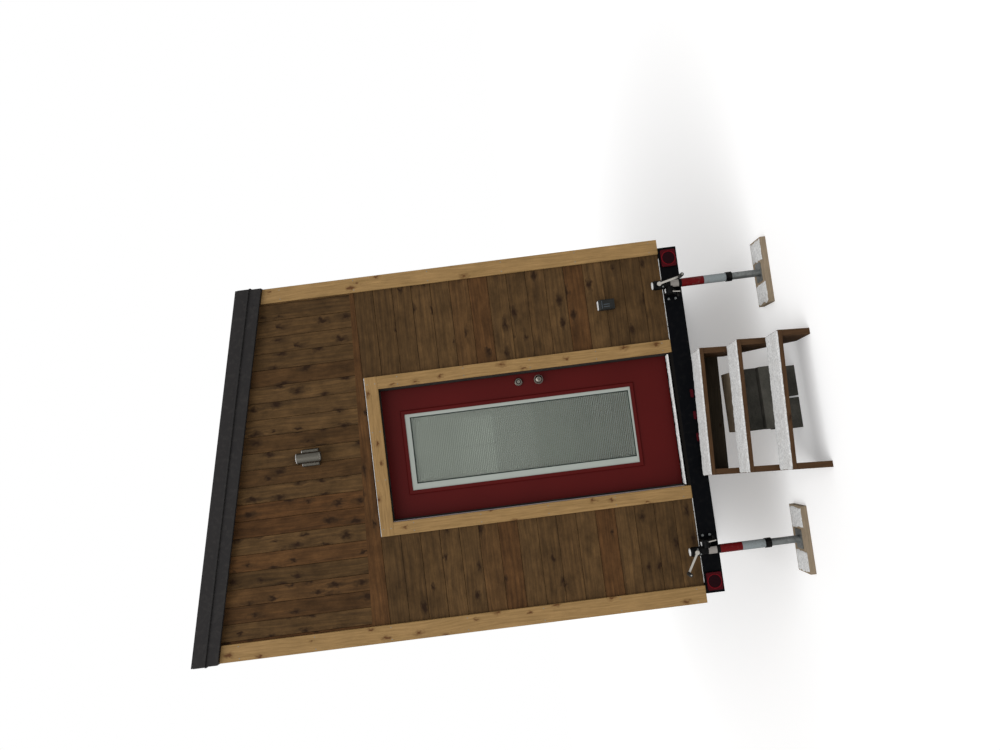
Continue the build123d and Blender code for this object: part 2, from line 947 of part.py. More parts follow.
def stringer_outline():
    """Y-Z outline of a notched stringer, from its plumb cut at the house to its foot."""
    below = -200
    outline = [(tread_back, tread_top(0) - tread_thickness)]
    for number in range(tread_count):
        face = tread_back - number * step_run - tread_depth + tread_nosing
        outline.append((face, tread_top(number) - tread_thickness))
        if number < tread_count - 1:
            outline.append((face, tread_top(number + 1) - tread_thickness))
    outline.append((face, below))
    heel = face + stringer_foot
    slope = math.atan2(step_rise, step_run)
    notch = (tread_back - tread_depth + tread_nosing, tread_top(1) - tread_thickness)
    start = (notch[0] + stringer_throat * math.sin(slope), notch[1] - stringer_throat * math.cos(slope))

    def underside(y):
        return start[1] + (y - start[0]) * math.tan(slope)

    return outline + [(heel, below), (heel, underside(heel)), (tread_back, underside(tread_back))]


def stringers():
    """The two notched boards that carry the treads."""
    boards = []
    for side in (-1, 1):
        outer = steps_x + side * steps_width / 2
        x_start, x_end = sorted((outer, outer - side * stringer_thickness))
        boards.append(leaned(along_x(stringer_outline(), x_start, x_end)))
    return boards


def step_apron():
    """Board across the back of the top step, between the stringers."""
    half = steps_width / 2 - stringer_thickness
    top = tread_top(0) - tread_thickness
    front = tread_back - apron_thickness
    return leaned(block(steps_x - half, steps_x + half, front, tread_back, top - apron_height, top))


# Block stack and pads


def course(middle, front, low, height):
    """Two blocks side by side that run across the stack."""
    half = block_length / 2
    blocks = []
    for start in (front, front + block_width + block_joint):
        blocks.append(block(middle - half, middle + half, start, start + block_width, low, low + height))
    return blocks


def foot_blocks():
    """Two blocks laid end-on at the ground."""
    half = block_width / 2
    back = stack_front + block_length
    blocks = []
    for side in (-1, 1):
        middle = stack_x + side * (block_width + block_joint) / 2
        blocks.append(block(middle - half, middle + half, stack_front, back, 0, thin_block))
    return blocks


def stack_top():
    """Height of the top of the dry-laid blocks."""
    return thin_block + deep_block + thin_block + 2 * course_gap


def pier_blocks():
    """Dry-laid blocks under the steps: two end-on at the ground, then two courses across them."""
    low = thin_block + course_gap
    middle = stack_x + course_shift
    lower = course(middle, stack_front, low, deep_block)
    upper_low = low + deep_block + course_gap
    return foot_blocks() + lower + course(middle, stack_front + top_course_setback, upper_low, thin_block)


def pier_shim():
    """Board on the stack that the middle tread bears on at its low side."""
    half = block_length / 2
    middle = stack_x + course_shift
    front = stack_front + top_course_setback
    back = front + 2 * block_width + block_joint
    drop = (middle + half - steps_x) * math.tan(math.radians(steps_lean))
    top = tread_top(1) - tread_thickness / math.cos(math.radians(steps_lean)) - drop
    return block(middle - half, middle + half, front, back, stack_top(), top)


def jack_pads():
    """Boards under the feet of the two jacks."""
    pads = []
    half_x, half_y = pad_length / 2, pad_depth / 2
    for x in jack_places:
        pads.append(block(x - half_x, x + half_x, jack_y - half_y, jack_y + half_y, 0, pad_thickness))
    return pads


# Jacks


def jack_body(x):
    """Outer tube with a collar at its foot, and the gear head with its boss for the crank."""
    height = jack_head_bottom - jack_tube_bottom
    tube = rod((x, jack_y, jack_tube_bottom), (0, 0, 1), jack_tube_diameter, height)
    tube += rod((x, jack_y, jack_tube_bottom), (0, 0, 1), jack_collar_diameter, jack_collar_height)
    tube -= rod((x, jack_y, jack_tube_bottom), (0, 0, 1), jack_tube_bore, height)
    head_height = jack_head_height + jack_cap_height
    head = rod((x, jack_y, jack_head_bottom), (0, 0, 1), jack_head_diameter, head_height)
    head = fillet(head.edges().group_by(Axis.Z)[-1], jack_cap_height - 2)
    reach = jack_head_diameter / 2 + crank_boss_length
    head += rod((x, jack_y, crank_height), (0, -1, 0), crank_boss_diameter, reach)
    bore = crank_shaft_diameter + 2 * crank_shaft_clearance
    head -= rod((x, jack_y - reach, crank_height), (0, 1, 0), bore, crank_shaft_length + 2)
    return tube + head


def crank_arm(x, angle):
    """Crank: shaft, hub and flat arm."""
    face = jack_y - jack_head_diameter / 2 - crank_boss_length - 1
    arm = rod((x, face, crank_height), (0, -1, 0), crank_hub_diameter, crank_hub_thickness)
    arm += rod((x, face, crank_height), (0, 1, 0), crank_shaft_diameter, crank_shaft_length)
    y_start = face - crank_hub_thickness
    half = crank_arm_width / 2
    bar = block(0, crank_arm_length, y_start, y_start + crank_arm_thickness, -half, half)
    bar += rod((crank_arm_length, y_start, 0), (0, 1, 0), crank_arm_width, crank_arm_thickness)
    return arm + Pos(x, 0, crank_height) * Rot(0, -angle, 0) * bar


def crank_grip(x, angle):
    """Round grip at the end of the crank's arm, pointing away from the house."""
    face = jack_y - jack_head_diameter / 2 - crank_boss_length - 1 - crank_hub_thickness
    turn = math.radians(angle)
    end_x = x + crank_arm_length * math.cos(turn)
    end_z = crank_height + crank_arm_length * math.sin(turn)
    grip = rod((end_x, face, end_z), (0, -1, 0), grip_diameter, grip_length)
    return fillet(grip.edges().group_by(Axis.Y)[0], 6)


def jack_leg(x):
    """Inner tube with its foot plate."""
    low = pad_thickness
    leg = rod((x, jack_y, low), (0, 0, 1), leg_diameter, leg_length)
    leg -= rod((x, jack_y, low - 1), (0, 0, 1), leg_diameter - 2 * leg_wall, leg_length + 2)
    half_x, half_y = foot_width / 2, foot_depth / 2
    foot = block(x - half_x, x + half_x, jack_y - half_y, jack_y + half_y, low, low + foot_thickness)
    return leg + fillet(foot.edges().filter_by(Axis.Z), 12)


def jack_bracket(x):
    """Plate on the rear beam and the swivel sleeve that carries the jack's tube."""
    inward = -1 if x > 0 else 1
    tube_side = x + inward * jack_tube_diameter / 2
    plate_start = tube_side + inward * sleeve_length
    middle = frame_top - bracket_height / 2 + 10
    x_start, x_end = sorted((plate_start, plate_start + inward * bracket_plate))
    sleeve_back = jack_y - sleeve_diameter / 2
    low, high = middle - bracket_height / 2, middle + bracket_height / 2 - 10
    plate = block(x_start, x_end, sleeve_back, -beam_proud, low, high)
    sleeve_axis = (x + inward * (jack_tube_diameter / 2 - 12), jack_y, middle + 14)
    sleeve = rod(sleeve_axis, (inward, 0, 0), sleeve_diameter, sleeve_length + 12)
    pin_foot = (plate_start, jack_y, low + 12)
    pin = rod(pin_foot, (inward, 0, 0), lock_pin_diameter, bracket_plate + lock_pin_reach)
    tube_space = rod((x, jack_y, 0), (0, 0, 1), jack_tube_diameter, jack_head_bottom * 2)
    return plate + sleeve + pin - tube_space


def main():
    os.makedirs("parts", exist_ok=True)

    left = under_roof(-half_width, -rough_half, frame_top)
    right = under_roof(rough_half, half_width, frame_top)
    beside_door = [along_y(outline, 0, wall_thickness) for outline in (left, right)]
    save("rear_wall_beside_door", beside_door)
    over_door = under_roof(-rough_half, rough_half, rough_top)
    save("rear_wall_over_door", along_y(over_door, 0, wall_thickness))
    save("front_wall", front_wall())
    save("side_walls", [side_wall(-1), side_wall(1)])
    save("floor_deck", floor_deck())
    sides = [(side, place) for side in (-1, 1) for place in window_places]
    save("window_frames", [side_window_frame(*spot) for spot in sides] + [front_window_frame()])
    save("window_glass", [side_window_glass(*spot) for spot in sides] + [front_window_glass()])
    save("window_trims", [side_window_trim(*spot) for spot in sides] + [front_window_trim()])
    end_boards = end_corner_boards(-trim_thickness, 0)
    end_boards += end_corner_boards(siding_length, siding_length + trim_thickness)
    save("end_corner_boards", end_boards)
    save("side_corner_boards", side_corner_boards())

    deck = roof_band(-half_width, half_width, 0, roof_depth)
    save("roof_deck", along_y(deck, -roof_overhang, siding_length + roof_overhang))
    save("roof_sheet", roof_sheet())
    save("end_fascias", [end_fascia(-1, 0), end_fascia(1, siding_length)])
    save("side_fascias", [side_fascia(-1) + high_cap(), side_fascia(1)])

    save("door_jambs", door_jambs())
    save("door_head", door_head())
    save("door_sill", door_sill())
    save("door_side_trims", door_side_trims())
    save("door_head_trim", door_head_trim())
    save("door_hinges", door_hinges())
    save("door_slab", door_slab())
    save("door_lite_frame", door_lite_frame())
    save("door_glass", door_glass())
    save("lock_plates", knob_roses())
    save("door_knobs", [knob(slab_front, -1), knob(slab_back, 1)])

    ends = (-frame_reach, frame_reach)
    save("rear_beam", channel_along_x(*ends, -beam_proud, 1, frame_depth, channel_flange))
    front_beam = channel_along_x(*ends, siding_length, -1, frame_depth, channel_flange)
    save("frame_rails", [rail(-1), rail(1)])
    save("crossmembers", crossmembers() + outriggers() + [front_beam])
    save("wheel_arches", [wheel_arch(-1), wheel_arch(1)])
    wheels = [(side, place) for side in (-1, 1) for place in axle_places()]
    save("tyres", [tyre(*spot) for spot in wheels])
    save("wheel_rims", [wheel_rim(*spot) for spot in wheels])
    save("axles", [axle(place) for place in axle_places()])
    save("tongue", tongue_beam(-1) + tongue_beam(1))
    save("coupler", coupler())
    save("tongue_jack", tongue_jack())

    save("rear_lights", tail_lights() + marker_lights())
    save("wall_lamp", wall_lamp())
    save("outlet_box", outlet_box())

    save("step_treads", [tread(number) for number in range(tread_count)])
    save("step_stringers", stringers())
    save("step_apron", step_apron())

    save("pier_blocks", pier_blocks())
    save("pier_shim", pier_shim())
    save("jack_pads", jack_pads())

    save("jack_brackets", [jack_bracket(x) for x in jack_places])
    save("jack_bodies", [jack_body(x) for x in jack_places])
    for name, x, angle in zip(("left", "right"), jack_places, crank_angles):
        save(f"{name}_jack_leg", jack_leg(x))
        save(f"{name}_crank_arm", crank_arm(x, angle))
        save(f"{name}_crank_grip", crank_grip(x, angle))


main()
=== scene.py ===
import json
import math
import random

import bmesh
import bpy
from mathutils import Matrix, Vector, noise

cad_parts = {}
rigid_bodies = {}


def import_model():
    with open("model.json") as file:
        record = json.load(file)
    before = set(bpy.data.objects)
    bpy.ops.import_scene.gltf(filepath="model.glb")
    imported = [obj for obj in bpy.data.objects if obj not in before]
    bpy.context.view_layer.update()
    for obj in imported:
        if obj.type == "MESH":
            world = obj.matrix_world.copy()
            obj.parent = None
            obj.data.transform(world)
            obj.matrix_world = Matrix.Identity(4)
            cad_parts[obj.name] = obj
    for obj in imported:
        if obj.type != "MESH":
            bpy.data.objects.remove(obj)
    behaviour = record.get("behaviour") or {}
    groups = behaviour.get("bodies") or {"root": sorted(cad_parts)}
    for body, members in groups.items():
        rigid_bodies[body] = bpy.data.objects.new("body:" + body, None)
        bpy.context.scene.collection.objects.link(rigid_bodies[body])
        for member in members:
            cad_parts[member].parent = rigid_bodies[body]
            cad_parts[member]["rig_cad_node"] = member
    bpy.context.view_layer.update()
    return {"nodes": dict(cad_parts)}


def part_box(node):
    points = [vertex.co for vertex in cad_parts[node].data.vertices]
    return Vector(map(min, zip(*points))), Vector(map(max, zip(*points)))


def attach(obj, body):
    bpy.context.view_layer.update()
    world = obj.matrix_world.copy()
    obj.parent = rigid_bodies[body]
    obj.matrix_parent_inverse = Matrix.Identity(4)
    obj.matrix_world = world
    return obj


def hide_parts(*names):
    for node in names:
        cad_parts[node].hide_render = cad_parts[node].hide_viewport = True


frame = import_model()
chance = random.Random(41)
MM = 0.001
SAME = 0.01 * MM  # points nearer than this are one point


# Places read from the solids

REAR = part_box("rear_wall_over_door")[0][1]
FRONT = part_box("front_wall")[1][1]
HALF_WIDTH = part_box("side_walls")[1][0]
WALL_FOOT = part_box("side_walls")[0][2]
EAVE_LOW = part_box("roof_deck")[0][2]
ROOF_SLOPE = math.tan(math.radians(12.4))
BEAM_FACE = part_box("rear_beam")[0][1]
KNOB_RADIUS = 27.5 * MM
LOCK_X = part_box("door_knobs")[0][0] + KNOB_RADIUS


def roof_line(x):
    """Height of the walls' top at a place across the house."""
    return EAVE_LOW + (HALF_WIDTH - x) * ROOF_SLOPE


def separate_solids(node):
    """Corner points of each solid of a node."""
    work = bmesh.new()
    work.from_mesh(frame["nodes"][node].data)
    bmesh.ops.remove_doubles(work, verts=work.verts, dist=SAME)
    seen, found = set(), []
    for first in work.verts:
        if first in seen:
            continue
        group, queue = [], [first]
        seen.add(first)
        while queue:
            vert = queue.pop()
            group.append(vert.co.copy())
            for edge in vert.link_edges:
                other = edge.other_vert(vert)
                if other not in seen:
                    seen.add(other)
                    queue.append(other)
        found.append(group)
    work.free()
    return found


def box_of(points):
    """Lowest and highest corner of some points."""
    low = [min(p[axis] for p in points) for axis in range(3)]
    high = [max(p[axis] for p in points) for axis in range(3)]
    return low, high


def boxes_of(node):
    """Lowest and highest corner of each solid of a node."""
    return [box_of(points) for points in separate_solids(node)]


# Making materials


def colour(code, alpha=1.0):
    """Linear colour from an sRGB hex code."""
    parts = [int(code[i : i + 2], 16) / 255 for i in (0, 2, 4)]
    linear = [p / 12.92 if p <= 0.04045 else ((p + 0.055) / 1.055) ** 2.4 for p in parts]
    return (*linear, alpha)


def per_metre(size_mm):
    """How many repeats of a pattern fit in a metre, from its real size."""
    return 1000.0 / size_mm


def feed(tree, node, inputs):
    """Give a node's inputs, by name or by number, their values or their links."""
    for key, value in inputs.items():
        if isinstance(value, bpy.types.Node):
            value = next(output for output in value.outputs if output.enabled)
        if isinstance(value, bpy.types.NodeSocket):
            tree.links.new(value, node.inputs[key])
        else:
            node.inputs[key].default_value = value


def add(tree, kind, inputs=None, stops=(), **settings):
    """Add a shader node with its settings and links. Stops are the places and colours of a ramp."""
    node = tree.nodes.new("ShaderNode" + kind)
    for name, value in settings.items():
        setattr(node, name, value)
    for number, (place, code) in enumerate(stops):
        if number > 1:
            node.color_ramp.elements.new(place)
        node.color_ramp.elements[number].position = place
        node.color_ramp.elements[number].color = colour(code)
    feed(tree, node, inputs or {})
    return node


def new_material(name, rough, gloss=None, metallic=0.0):
    """A new material with its plain values, and the place on the object that its patterns start from."""
    material = bpy.data.materials.new(name)
    material.use_nodes = True
    tree = material.node_tree
    shader = tree.nodes["Principled BSDF"]
    shader.inputs["Roughness"].default_value = rough
    shader.inputs["Metallic"].default_value = metallic
    if gloss is not None:
        shader.inputs["Specular IOR Level"].default_value = gloss
    place = add(tree, "TexCoord").outputs["Object"]
    return material, tree, shader, place


def sawn_pine(name, grain, light, dark, knot, tone=0.12, red=0.0, knot_mm=20, spacing_mm=150, knots=0.6,
              streak_mm=9, contrast=0.4, blotch=0.5, rough=0.75, gloss=0.12):
    """Planed softwood boards. The year rings show as long streaks that part round the knots, the knots are torn
    ovals with a red rim and a dark smear along the grain, and stain or sap leaves soft blotches. grain is
    the axis the boards run along, tone is how much one board differs from the next, and red is how far some
    boards turn to red."""
    material, tree, shader, place = new_material(name, rough, gloss)
    # Each board is cut from another place of the pattern
    board = add(tree, "Attribute", attribute_name="board").outputs["Fac"]
    shift = add(tree, "VectorMath", {0: (7.3, 5.1, 9.7), "Scale": board}, operation="SCALE")
    shifted = add(tree, "VectorMath", {0: place, 1: shift}, operation="ADD")
    x, y, z = add(tree, "SeparateXYZ", {0: shifted}).outputs
    level = add(tree, "Math", {0: x, 1: y}, operation="ADD")
    along = {"X": x, "Y": y, "Z": z, "LEVEL": level}[grain]
    if grain == "Z":
        across = level
    elif grain == "LEVEL":
        across = z
    else:
        across = add(tree, "Math", {0: {"X": y, "Y": x}[grain], 1: z}, operation="ADD")

    # Knots: one at most in each cell of the spacing, 1.7 times as long as wide, with a torn outline
    squeezed = add(tree, "Math", {0: along, 1: 0.6}, operation="MULTIPLY")
    flat = add(tree, "CombineXYZ", {"X": squeezed, "Y": across})
    torn = add(tree, "TexNoise", {"Vector": flat, "Scale": per_metre(knot_mm * 0.8), "Detail": 4.0},
               noise_dimensions="2D").outputs["Color"]
    tear = knot_mm * 1.5 * MM
    ragged = add(tree, "VectorMath", {0: torn, 1: (tear, tear, 0.0), 2: flat}, operation="MULTIPLY_ADD")
    cells = per_metre(spacing_mm)
    spots = add(tree, "TexVoronoi", {"Vector": ragged, "Scale": cells}, voronoi_dimensions="2D")
    draw = add(tree, "SeparateColor", {0: spots.outputs["Color"]})
    size = add(tree, "MapRange", {"Value": draw.outputs[1], "To Min": 0.45 * knot_mm / 2 / spacing_mm,
                                  "To Max": knot_mm / 2 / spacing_mm})
    there = add(tree, "Math", {0: draw.outputs[0], 1: 1.0 - knots}, operation="GREATER_THAN")
    size = add(tree, "Math", {0: size, 1: there, 2: 0.0001}, operation="MULTIPLY_ADD")
    reach = add(tree, "Math", {0: spots.outputs["Distance"], 1: size}, operation="DIVIDE")
    offset = add(tree, "VectorMath", {0: ragged, 1: spots.outputs["Position"]}, operation="SUBTRACT")
    narrow = add(tree, "VectorMath", {0: offset, 1: (0.24 * cells, 1.0 * cells, 0.0)}, operation="MULTIPLY")
    length = add(tree, "VectorMath", {0: narrow}, operation="LENGTH").outputs["Value"]
    far = add(tree, "Math", {0: length, 1: size}, operation="DIVIDE")
    # Each of these fades from its full strength to nothing between two multiples of the knot's size
    fades = []
    for value, near, out, full in ((reach, 0.5, 1.3, 0.85), (reach, 1.0, 2.6, 0.6), (far, 0.5, 1.6, 0.4),
                                   (reach, 0.4, 3.4, 0.8)):
        fades.append(add(tree, "MapRange", {"Value": value, "From Min": near, "From Max": out, "To Min": full,
                                            "To Max": 0.0}, interpolation_type="SMOOTHSTEP"))
    heart, rim, smear, parting = fades

    # Year rings: streaks 30 times as long as wide, drawn aside by each knot
    aside = add(tree, "SeparateXYZ", {0: offset}).outputs[1]
    drawn = add(tree, "Math", {0: aside, 1: parting}, operation="MULTIPLY")
    wander = add(tree, "TexNoise", {"Vector": flat, "Scale": per_metre(500), "Detail": 2.0}, noise_dimensions="2D")
    bent = add(tree, "Math", {0: wander, 1: 0.06, 2: across}, operation="MULTIPLY_ADD")
    bent = add(tree, "Math", {0: bent, 1: drawn}, operation="SUBTRACT")
    drift = add(tree, "Math", {0: along, 1: 0.033}, operation="MULTIPLY")
    rings = add(tree, "CombineXYZ", {"X": drift, "Y": bent})
    streaks = add(tree, "TexNoise", {"Vector": rings, "Scale": per_metre(streak_mm), "Detail": 4.0,
                                     "Roughness": 0.65}, noise_dimensions="2D")
    # Wood fibres are finer than the picture shows, so they are drawn 2.5 mm wide
    fibres = add(tree, "TexNoise", {"Vector": rings, "Scale": per_metre(2.5), "Detail": 2.0}, noise_dimensions="2D")
    clouds = add(tree, "TexNoise", {"Vector": flat, "Scale": per_metre(90), "Detail": 5.0, "Roughness": 0.65},
                 noise_dimensions="2D")

    # Colours, from pale early wood to dark late wood, under the board's own tone and the stain's blotches
    spread = 0.16 / contrast
    share = add(tree, "MapRange", {"Value": streaks, "From Min": 0.5 - spread, "From Max": 0.5 + spread})
    body = add(tree, "Mix", {0: share, 6: colour(dark), 7: colour(light)}, data_type="RGBA")
    shade = 1.0
    for value, depth in ((board, tone), (clouds, blotch), (fibres, 0.5)):
        part = add(tree, "Math", {0: value, 1: depth, 2: 1.0 - depth / 2}, operation="MULTIPLY_ADD")
        shade = add(tree, "Math", {0: shade, 1: part}, operation="MULTIPLY")
    body = add(tree, "VectorMath", {0: body, "Scale": shade}, operation="SCALE")
    if red:
        # A second number for each board says how red it turns
        lot = add(tree, "Math", {0: board, 1: 13.7}, operation="MULTIPLY")
        lot = add(tree, "Math", {0: lot}, operation="FRACT")
        share = add(tree, "MapRange", {"Value": lot, "From Min": 0.55, "From Max": 0.95, "To Max": red})
        warm = add(tree, "Mix", {0: 1.0, 6: body, 7: colour("ffc4a2")}, data_type="RGBA", blend_type="MULTIPLY")
        body = add(tree, "Mix", {0: share, 6: body, 7: warm}, data_type="RGBA")
    edge = add(tree, "Mix", {0: 0.55, 6: colour(dark), 7: colour(knot)}, data_type="RGBA")
    for share, over in ((smear, colour(dark)), (rim, edge), (heart, colour(knot))):
        body = add(tree, "Mix", {0: share, 6: body, 7: over}, data_type="RGBA")
    raised = add(tree, "Math", {0: streaks, 1: fibres}, operation="ADD")
    relief = add(tree, "Bump", {"Height": raised, "Strength": 0.25, "Distance": 0.6 * MM})
    feed(tree, shader, {"Base Color": body, "Normal": relief})
    return material


def painted_steel(name, code, rough, gloss=0.2, dust=0.03):
    """Sprayed paint on rolled steel: an even coat with a faint orange peel, and road dust in patches."""
    material, tree, shader, place = new_material(name, rough, gloss)
    # Orange peel is about 2 mm across, and is drawn 5 mm across so that it shows
    peel = add(tree, "TexNoise", {"Vector": place, "Scale": per_metre(5), "Detail": 2.0})
    cloud = add(tree, "TexNoise", {"Vector": place, "Scale": per_metre(260), "Detail": 5.0})
    patches = add(tree, "TexNoise", {"Vector": place, "Scale": per_metre(30), "Detail": 4.0})
    worn = add(tree, "Math", {0: cloud, 1: 0.25}, operation="MULTIPLY")
    coat = add(tree, "Mix", {0: worn, 6: colour(code), 7: colour("0a0a0a")}, data_type="RGBA")
    dusty = add(tree, "MapRange", {"Value": patches, "From Min": 0.5, "From Max": 0.75, "To Max": dust})
    coat = add(tree, "Mix", {0: dusty, 6: coat, 7: colour("8a857c")}, data_type="RGBA")
    relief = add(tree, "Bump", {"Height": peel, "Strength": 0.12, "Distance": 0.6 * MM})
    feed(tree, shader, {"Base Color": coat, "Normal": relief})
    return material


def plain_metal(name, code, dull, rough, stretch=(1, 1, 1), spangle=0.0, spangle_mm=14):
    """Bare or plated metal. Brushing is drawn out along the axis with the small stretch, and hot zinc shows its
    spangle as flat grains that each shine a little differently."""
    material, tree, shader, place = new_material(name, rough, metallic=1.0)
    pulled = add(tree, "Mapping", {"Vector": place, "Scale": stretch})
    # Brush lines are 0.3 mm apart, and are drawn 5 mm apart so that they show
    lines = add(tree, "TexNoise", {"Vector": pulled, "Scale": per_metre(5), "Detail": 3.0})
    grains = add(tree, "TexVoronoi", {"Vector": place, "Scale": per_metre(spangle_mm)})
    flake = add(tree, "SeparateColor", {0: grains.outputs["Color"]}).outputs[0]
    share = add(tree, "Math", {0: flake, 1: spangle}, operation="MULTIPLY")
    share = add(tree, "Math", {0: lines, 1: 0.35, 2: share}, operation="MULTIPLY_ADD")
    tint = add(tree, "Mix", {0: share, 6: colour(code), 7: colour(dull)}, data_type="RGBA")
    gleam = add(tree, "Math", {0: lines, 1: 0.15, 2: rough}, operation="MULTIPLY_ADD")
    relief = add(tree, "Bump", {"Height": lines, "Strength": 0.08, "Distance": 0.4 * MM})
    feed(tree, shader, {"Base Color": tint, "Roughness": gleam, "Normal": relief})
    return material


def moulded_plastic(name, code, rough, gloss=0.3, grain_mm=3, worn="6f6f6a"):
    """Moulded plastic or rubber: one even colour, a fine cast texture, and a grey bloom in patches."""
    material, tree, shader, place = new_material(name, rough, gloss)
    grain = add(tree, "TexNoise", {"Vector": place, "Scale": per_metre(grain_mm), "Detail": 2.0})
    bloom = add(tree, "TexNoise", {"Vector": place, "Scale": per_metre(110), "Detail": 4.0})
    share = add(tree, "Math", {0: bloom, 1: 0.18}, operation="MULTIPLY")
    body = add(tree, "Mix", {0: share, 6: colour(code), 7: colour(worn)}, data_type="RGBA")
    relief = add(tree, "Bump", {"Height": grain, "Strength": 0.1, "Distance": 0.5 * MM})
    feed(tree, shader, {"Base Color": body, "Normal": relief})
    return material


def reflective_tape(name, code, cell):
    """Reflective sheeting wrapped round a tube: pressed cells with darker rims, scuffed grey in places."""
    material, tree, shader, place = new_material(name, 0.4, 0.08)
    # The cells are 3 mm across, and are drawn 6 mm across so that they show
    cells = add(tree, "TexVoronoi", {"Vector": place, "Scale": per_metre(6)}, feature="DISTANCE_TO_EDGE")
    share = add(tree, "MapRange", {"Value": cells, "From Min": 0.0, "From Max": 0.2, "To Min": 0.35})
    scuffs = add(tree, "TexNoise", {"Vector": place, "Scale": per_metre(25), "Detail": 5.0})
    worn = add(tree, "MapRange", {"Value": scuffs, "From Min": 0.55, "From Max": 0.7, "To Max": 0.3})
    body = add(tree, "Mix", {0: share, 6: colour(cell), 7: colour(code)}, data_type="RGBA")
    body = add(tree, "Mix", {0: worn, 6: body, 7: colour("57514c")}, data_type="RGBA")
    feed(tree, shader, {"Base Color": body})
    return material


def embossed_door_skin():
    """Pressed door skin under satin dark red paint. Upright embossing, 8 mm wide, gives it a faint wood grain."""
    material, tree, shader, place = new_material("dark_red_door_skin", 0.42, 0.08)
    pulled = add(tree, "Mapping", {"Vector": place, "Scale": (1, 1, 0.08)})
    grain = add(tree, "TexNoise", {"Vector": pulled, "Scale": per_metre(8), "Detail": 3.0})
    cloud = add(tree, "TexNoise", {"Vector": place, "Scale": per_metre(300), "Detail": 4.0})
    body = add(tree, "Mix", {0: cloud, 6: colour("521110"), 7: colour("470e0d")}, data_type="RGBA")
    relief = add(tree, "Bump", {"Height": grain, "Strength": 0.12, "Distance": 0.5 * MM})
    feed(tree, shader, {"Base Color": body, "Normal": relief})
    return material


def float_glass():
    """Float glass: clear with a faint green, and so flat that its sheet only shows by what it mirrors."""
    material, tree, shader, place = new_material("clear_float_glass", 0.03)
    feed(tree, shader, {"Base Color": colour("e4e8e3"), "Transmission Weight": 1.0, "IOR": 1.45})
    waves = add(tree, "TexNoise", {"Vector": place, "Scale": per_metre(200), "Detail": 3.0})
    relief = add(tree, "Bump", {"Height": waves, "Strength": 0.02, "Distance": 1.0 * MM})
    feed(tree, shader, {"Normal": relief})
    return material


def cast_concrete():
    """Concrete block pressed from a dry mix: sandy open faces with pits, darker where damp has soaked in."""
    material, tree, shader, place = new_material("cast_concrete_block", 0.92, 0.15)
    damp = add(tree, "TexNoise", {"Vector": place, "Scale": per_metre(150), "Detail": 6.0})
    # Sand grains of 1 mm are drawn 5 mm across so that they show
    sand = add(tree, "TexNoise", {"Vector": place, "Scale": per_metre(5), "Detail": 4.0})
    pits = add(tree, "TexVoronoi", {"Vector": place, "Scale": per_metre(9)})
    base = add(tree, "ValToRGB", {"Fac": damp}, stops=((0.32, "3f3e39"), (0.68, "5d5b54")))
    grit = add(tree, "Math", {0: sand, 1: 0.6, 2: 0.7}, operation="MULTIPLY_ADD")
    body = add(tree, "VectorMath", {0: base, "Scale": grit}, operation="SCALE")
    rough = add(tree, "Math", {0: sand, 1: pits.outputs["Distance"]}, operation="ADD")
    relief = add(tree, "Bump", {"Height": rough, "Strength": 0.6, "Distance": 2.0 * MM})
    feed(tree, shader, {"Base Color": body, "Normal": relief})
    return material


def moulded_lens(name, code, deep):
    """Red acrylic lamp lens: glossy outside, with prism ribs 9 mm apart moulded behind its face."""
    material, tree, shader, place = new_material(name, 0.25, 0.06)
    # At a scale of 1 the wave node draws some 3.14 ribs in a metre
    ribs = add(tree, "TexWave", {"Vector": place, "Scale": per_metre(9) / 3.14}, bands_direction="X")
    body = add(tree, "Mix", {0: ribs.outputs["Fac"], 6: colour(deep), 7: colour(code)}, data_type="RGBA")
    relief = add(tree, "Bump", {"Height": ribs.outputs["Fac"], "Strength": 0.15, "Distance": 0.8 * MM})
    feed(tree, shader, {"Base Color": body, "Normal": relief})
    return material


def fresh_snow():
    """Fresh dry snow a centimetre deep: soft white, dimpled by flakes that lie in clumps of about 12 mm."""
    material, tree, shader, place = new_material("fresh_thin_snow", 0.85, 0.1)
    clumps = add(tree, "TexNoise", {"Vector": place, "Scale": per_metre(12), "Detail": 5.0, "Roughness": 0.7})
    drifts = add(tree, "TexNoise", {"Vector": place, "Scale": per_metre(70), "Detail": 4.0})
    body = add(tree, "ValToRGB", {"Fac": clumps}, stops=((0.35, "b4b5b5"), (0.62, "e3e3e2")))
    melt = add(tree, "MapRange", {"Value": drifts, "From Min": 0.45, "From Max": 0.8, "To Max": 0.3})
    body = add(tree, "Mix", {0: melt, 6: body, 7: colour("a59f98")}, data_type="RGBA")
    both = add(tree, "Math", {0: clumps, 1: drifts}, operation="ADD")
    relief = add(tree, "Bump", {"Height": both, "Strength": 0.5, "Distance": 4.0 * MM})
    feed(tree, shader, {"Base Color": body, "Normal": relief})
    return material


# Siding: knotty pine shiplap under a walnut stain. The thin coat leaves knots and streaks showing, and
# each board takes it a little lighter, darker or redder.
stain = dict(knot="24160c", tone=0.34, red=0.38, streak_mm=17, contrast=0.45, blotch=1.4, gloss=0.08)
siding_level = sawn_pine("walnut_stained_pine_level", "LEVEL", "5d4529", "352718", knot_mm=30, spacing_mm=115,
                         knots=0.3, **stain)
siding_upright = sawn_pine("walnut_stained_pine_upright", "Z", "5d4529", "352718", knot_mm=32, spacing_mm=92,
                           knots=0.5, **stain)
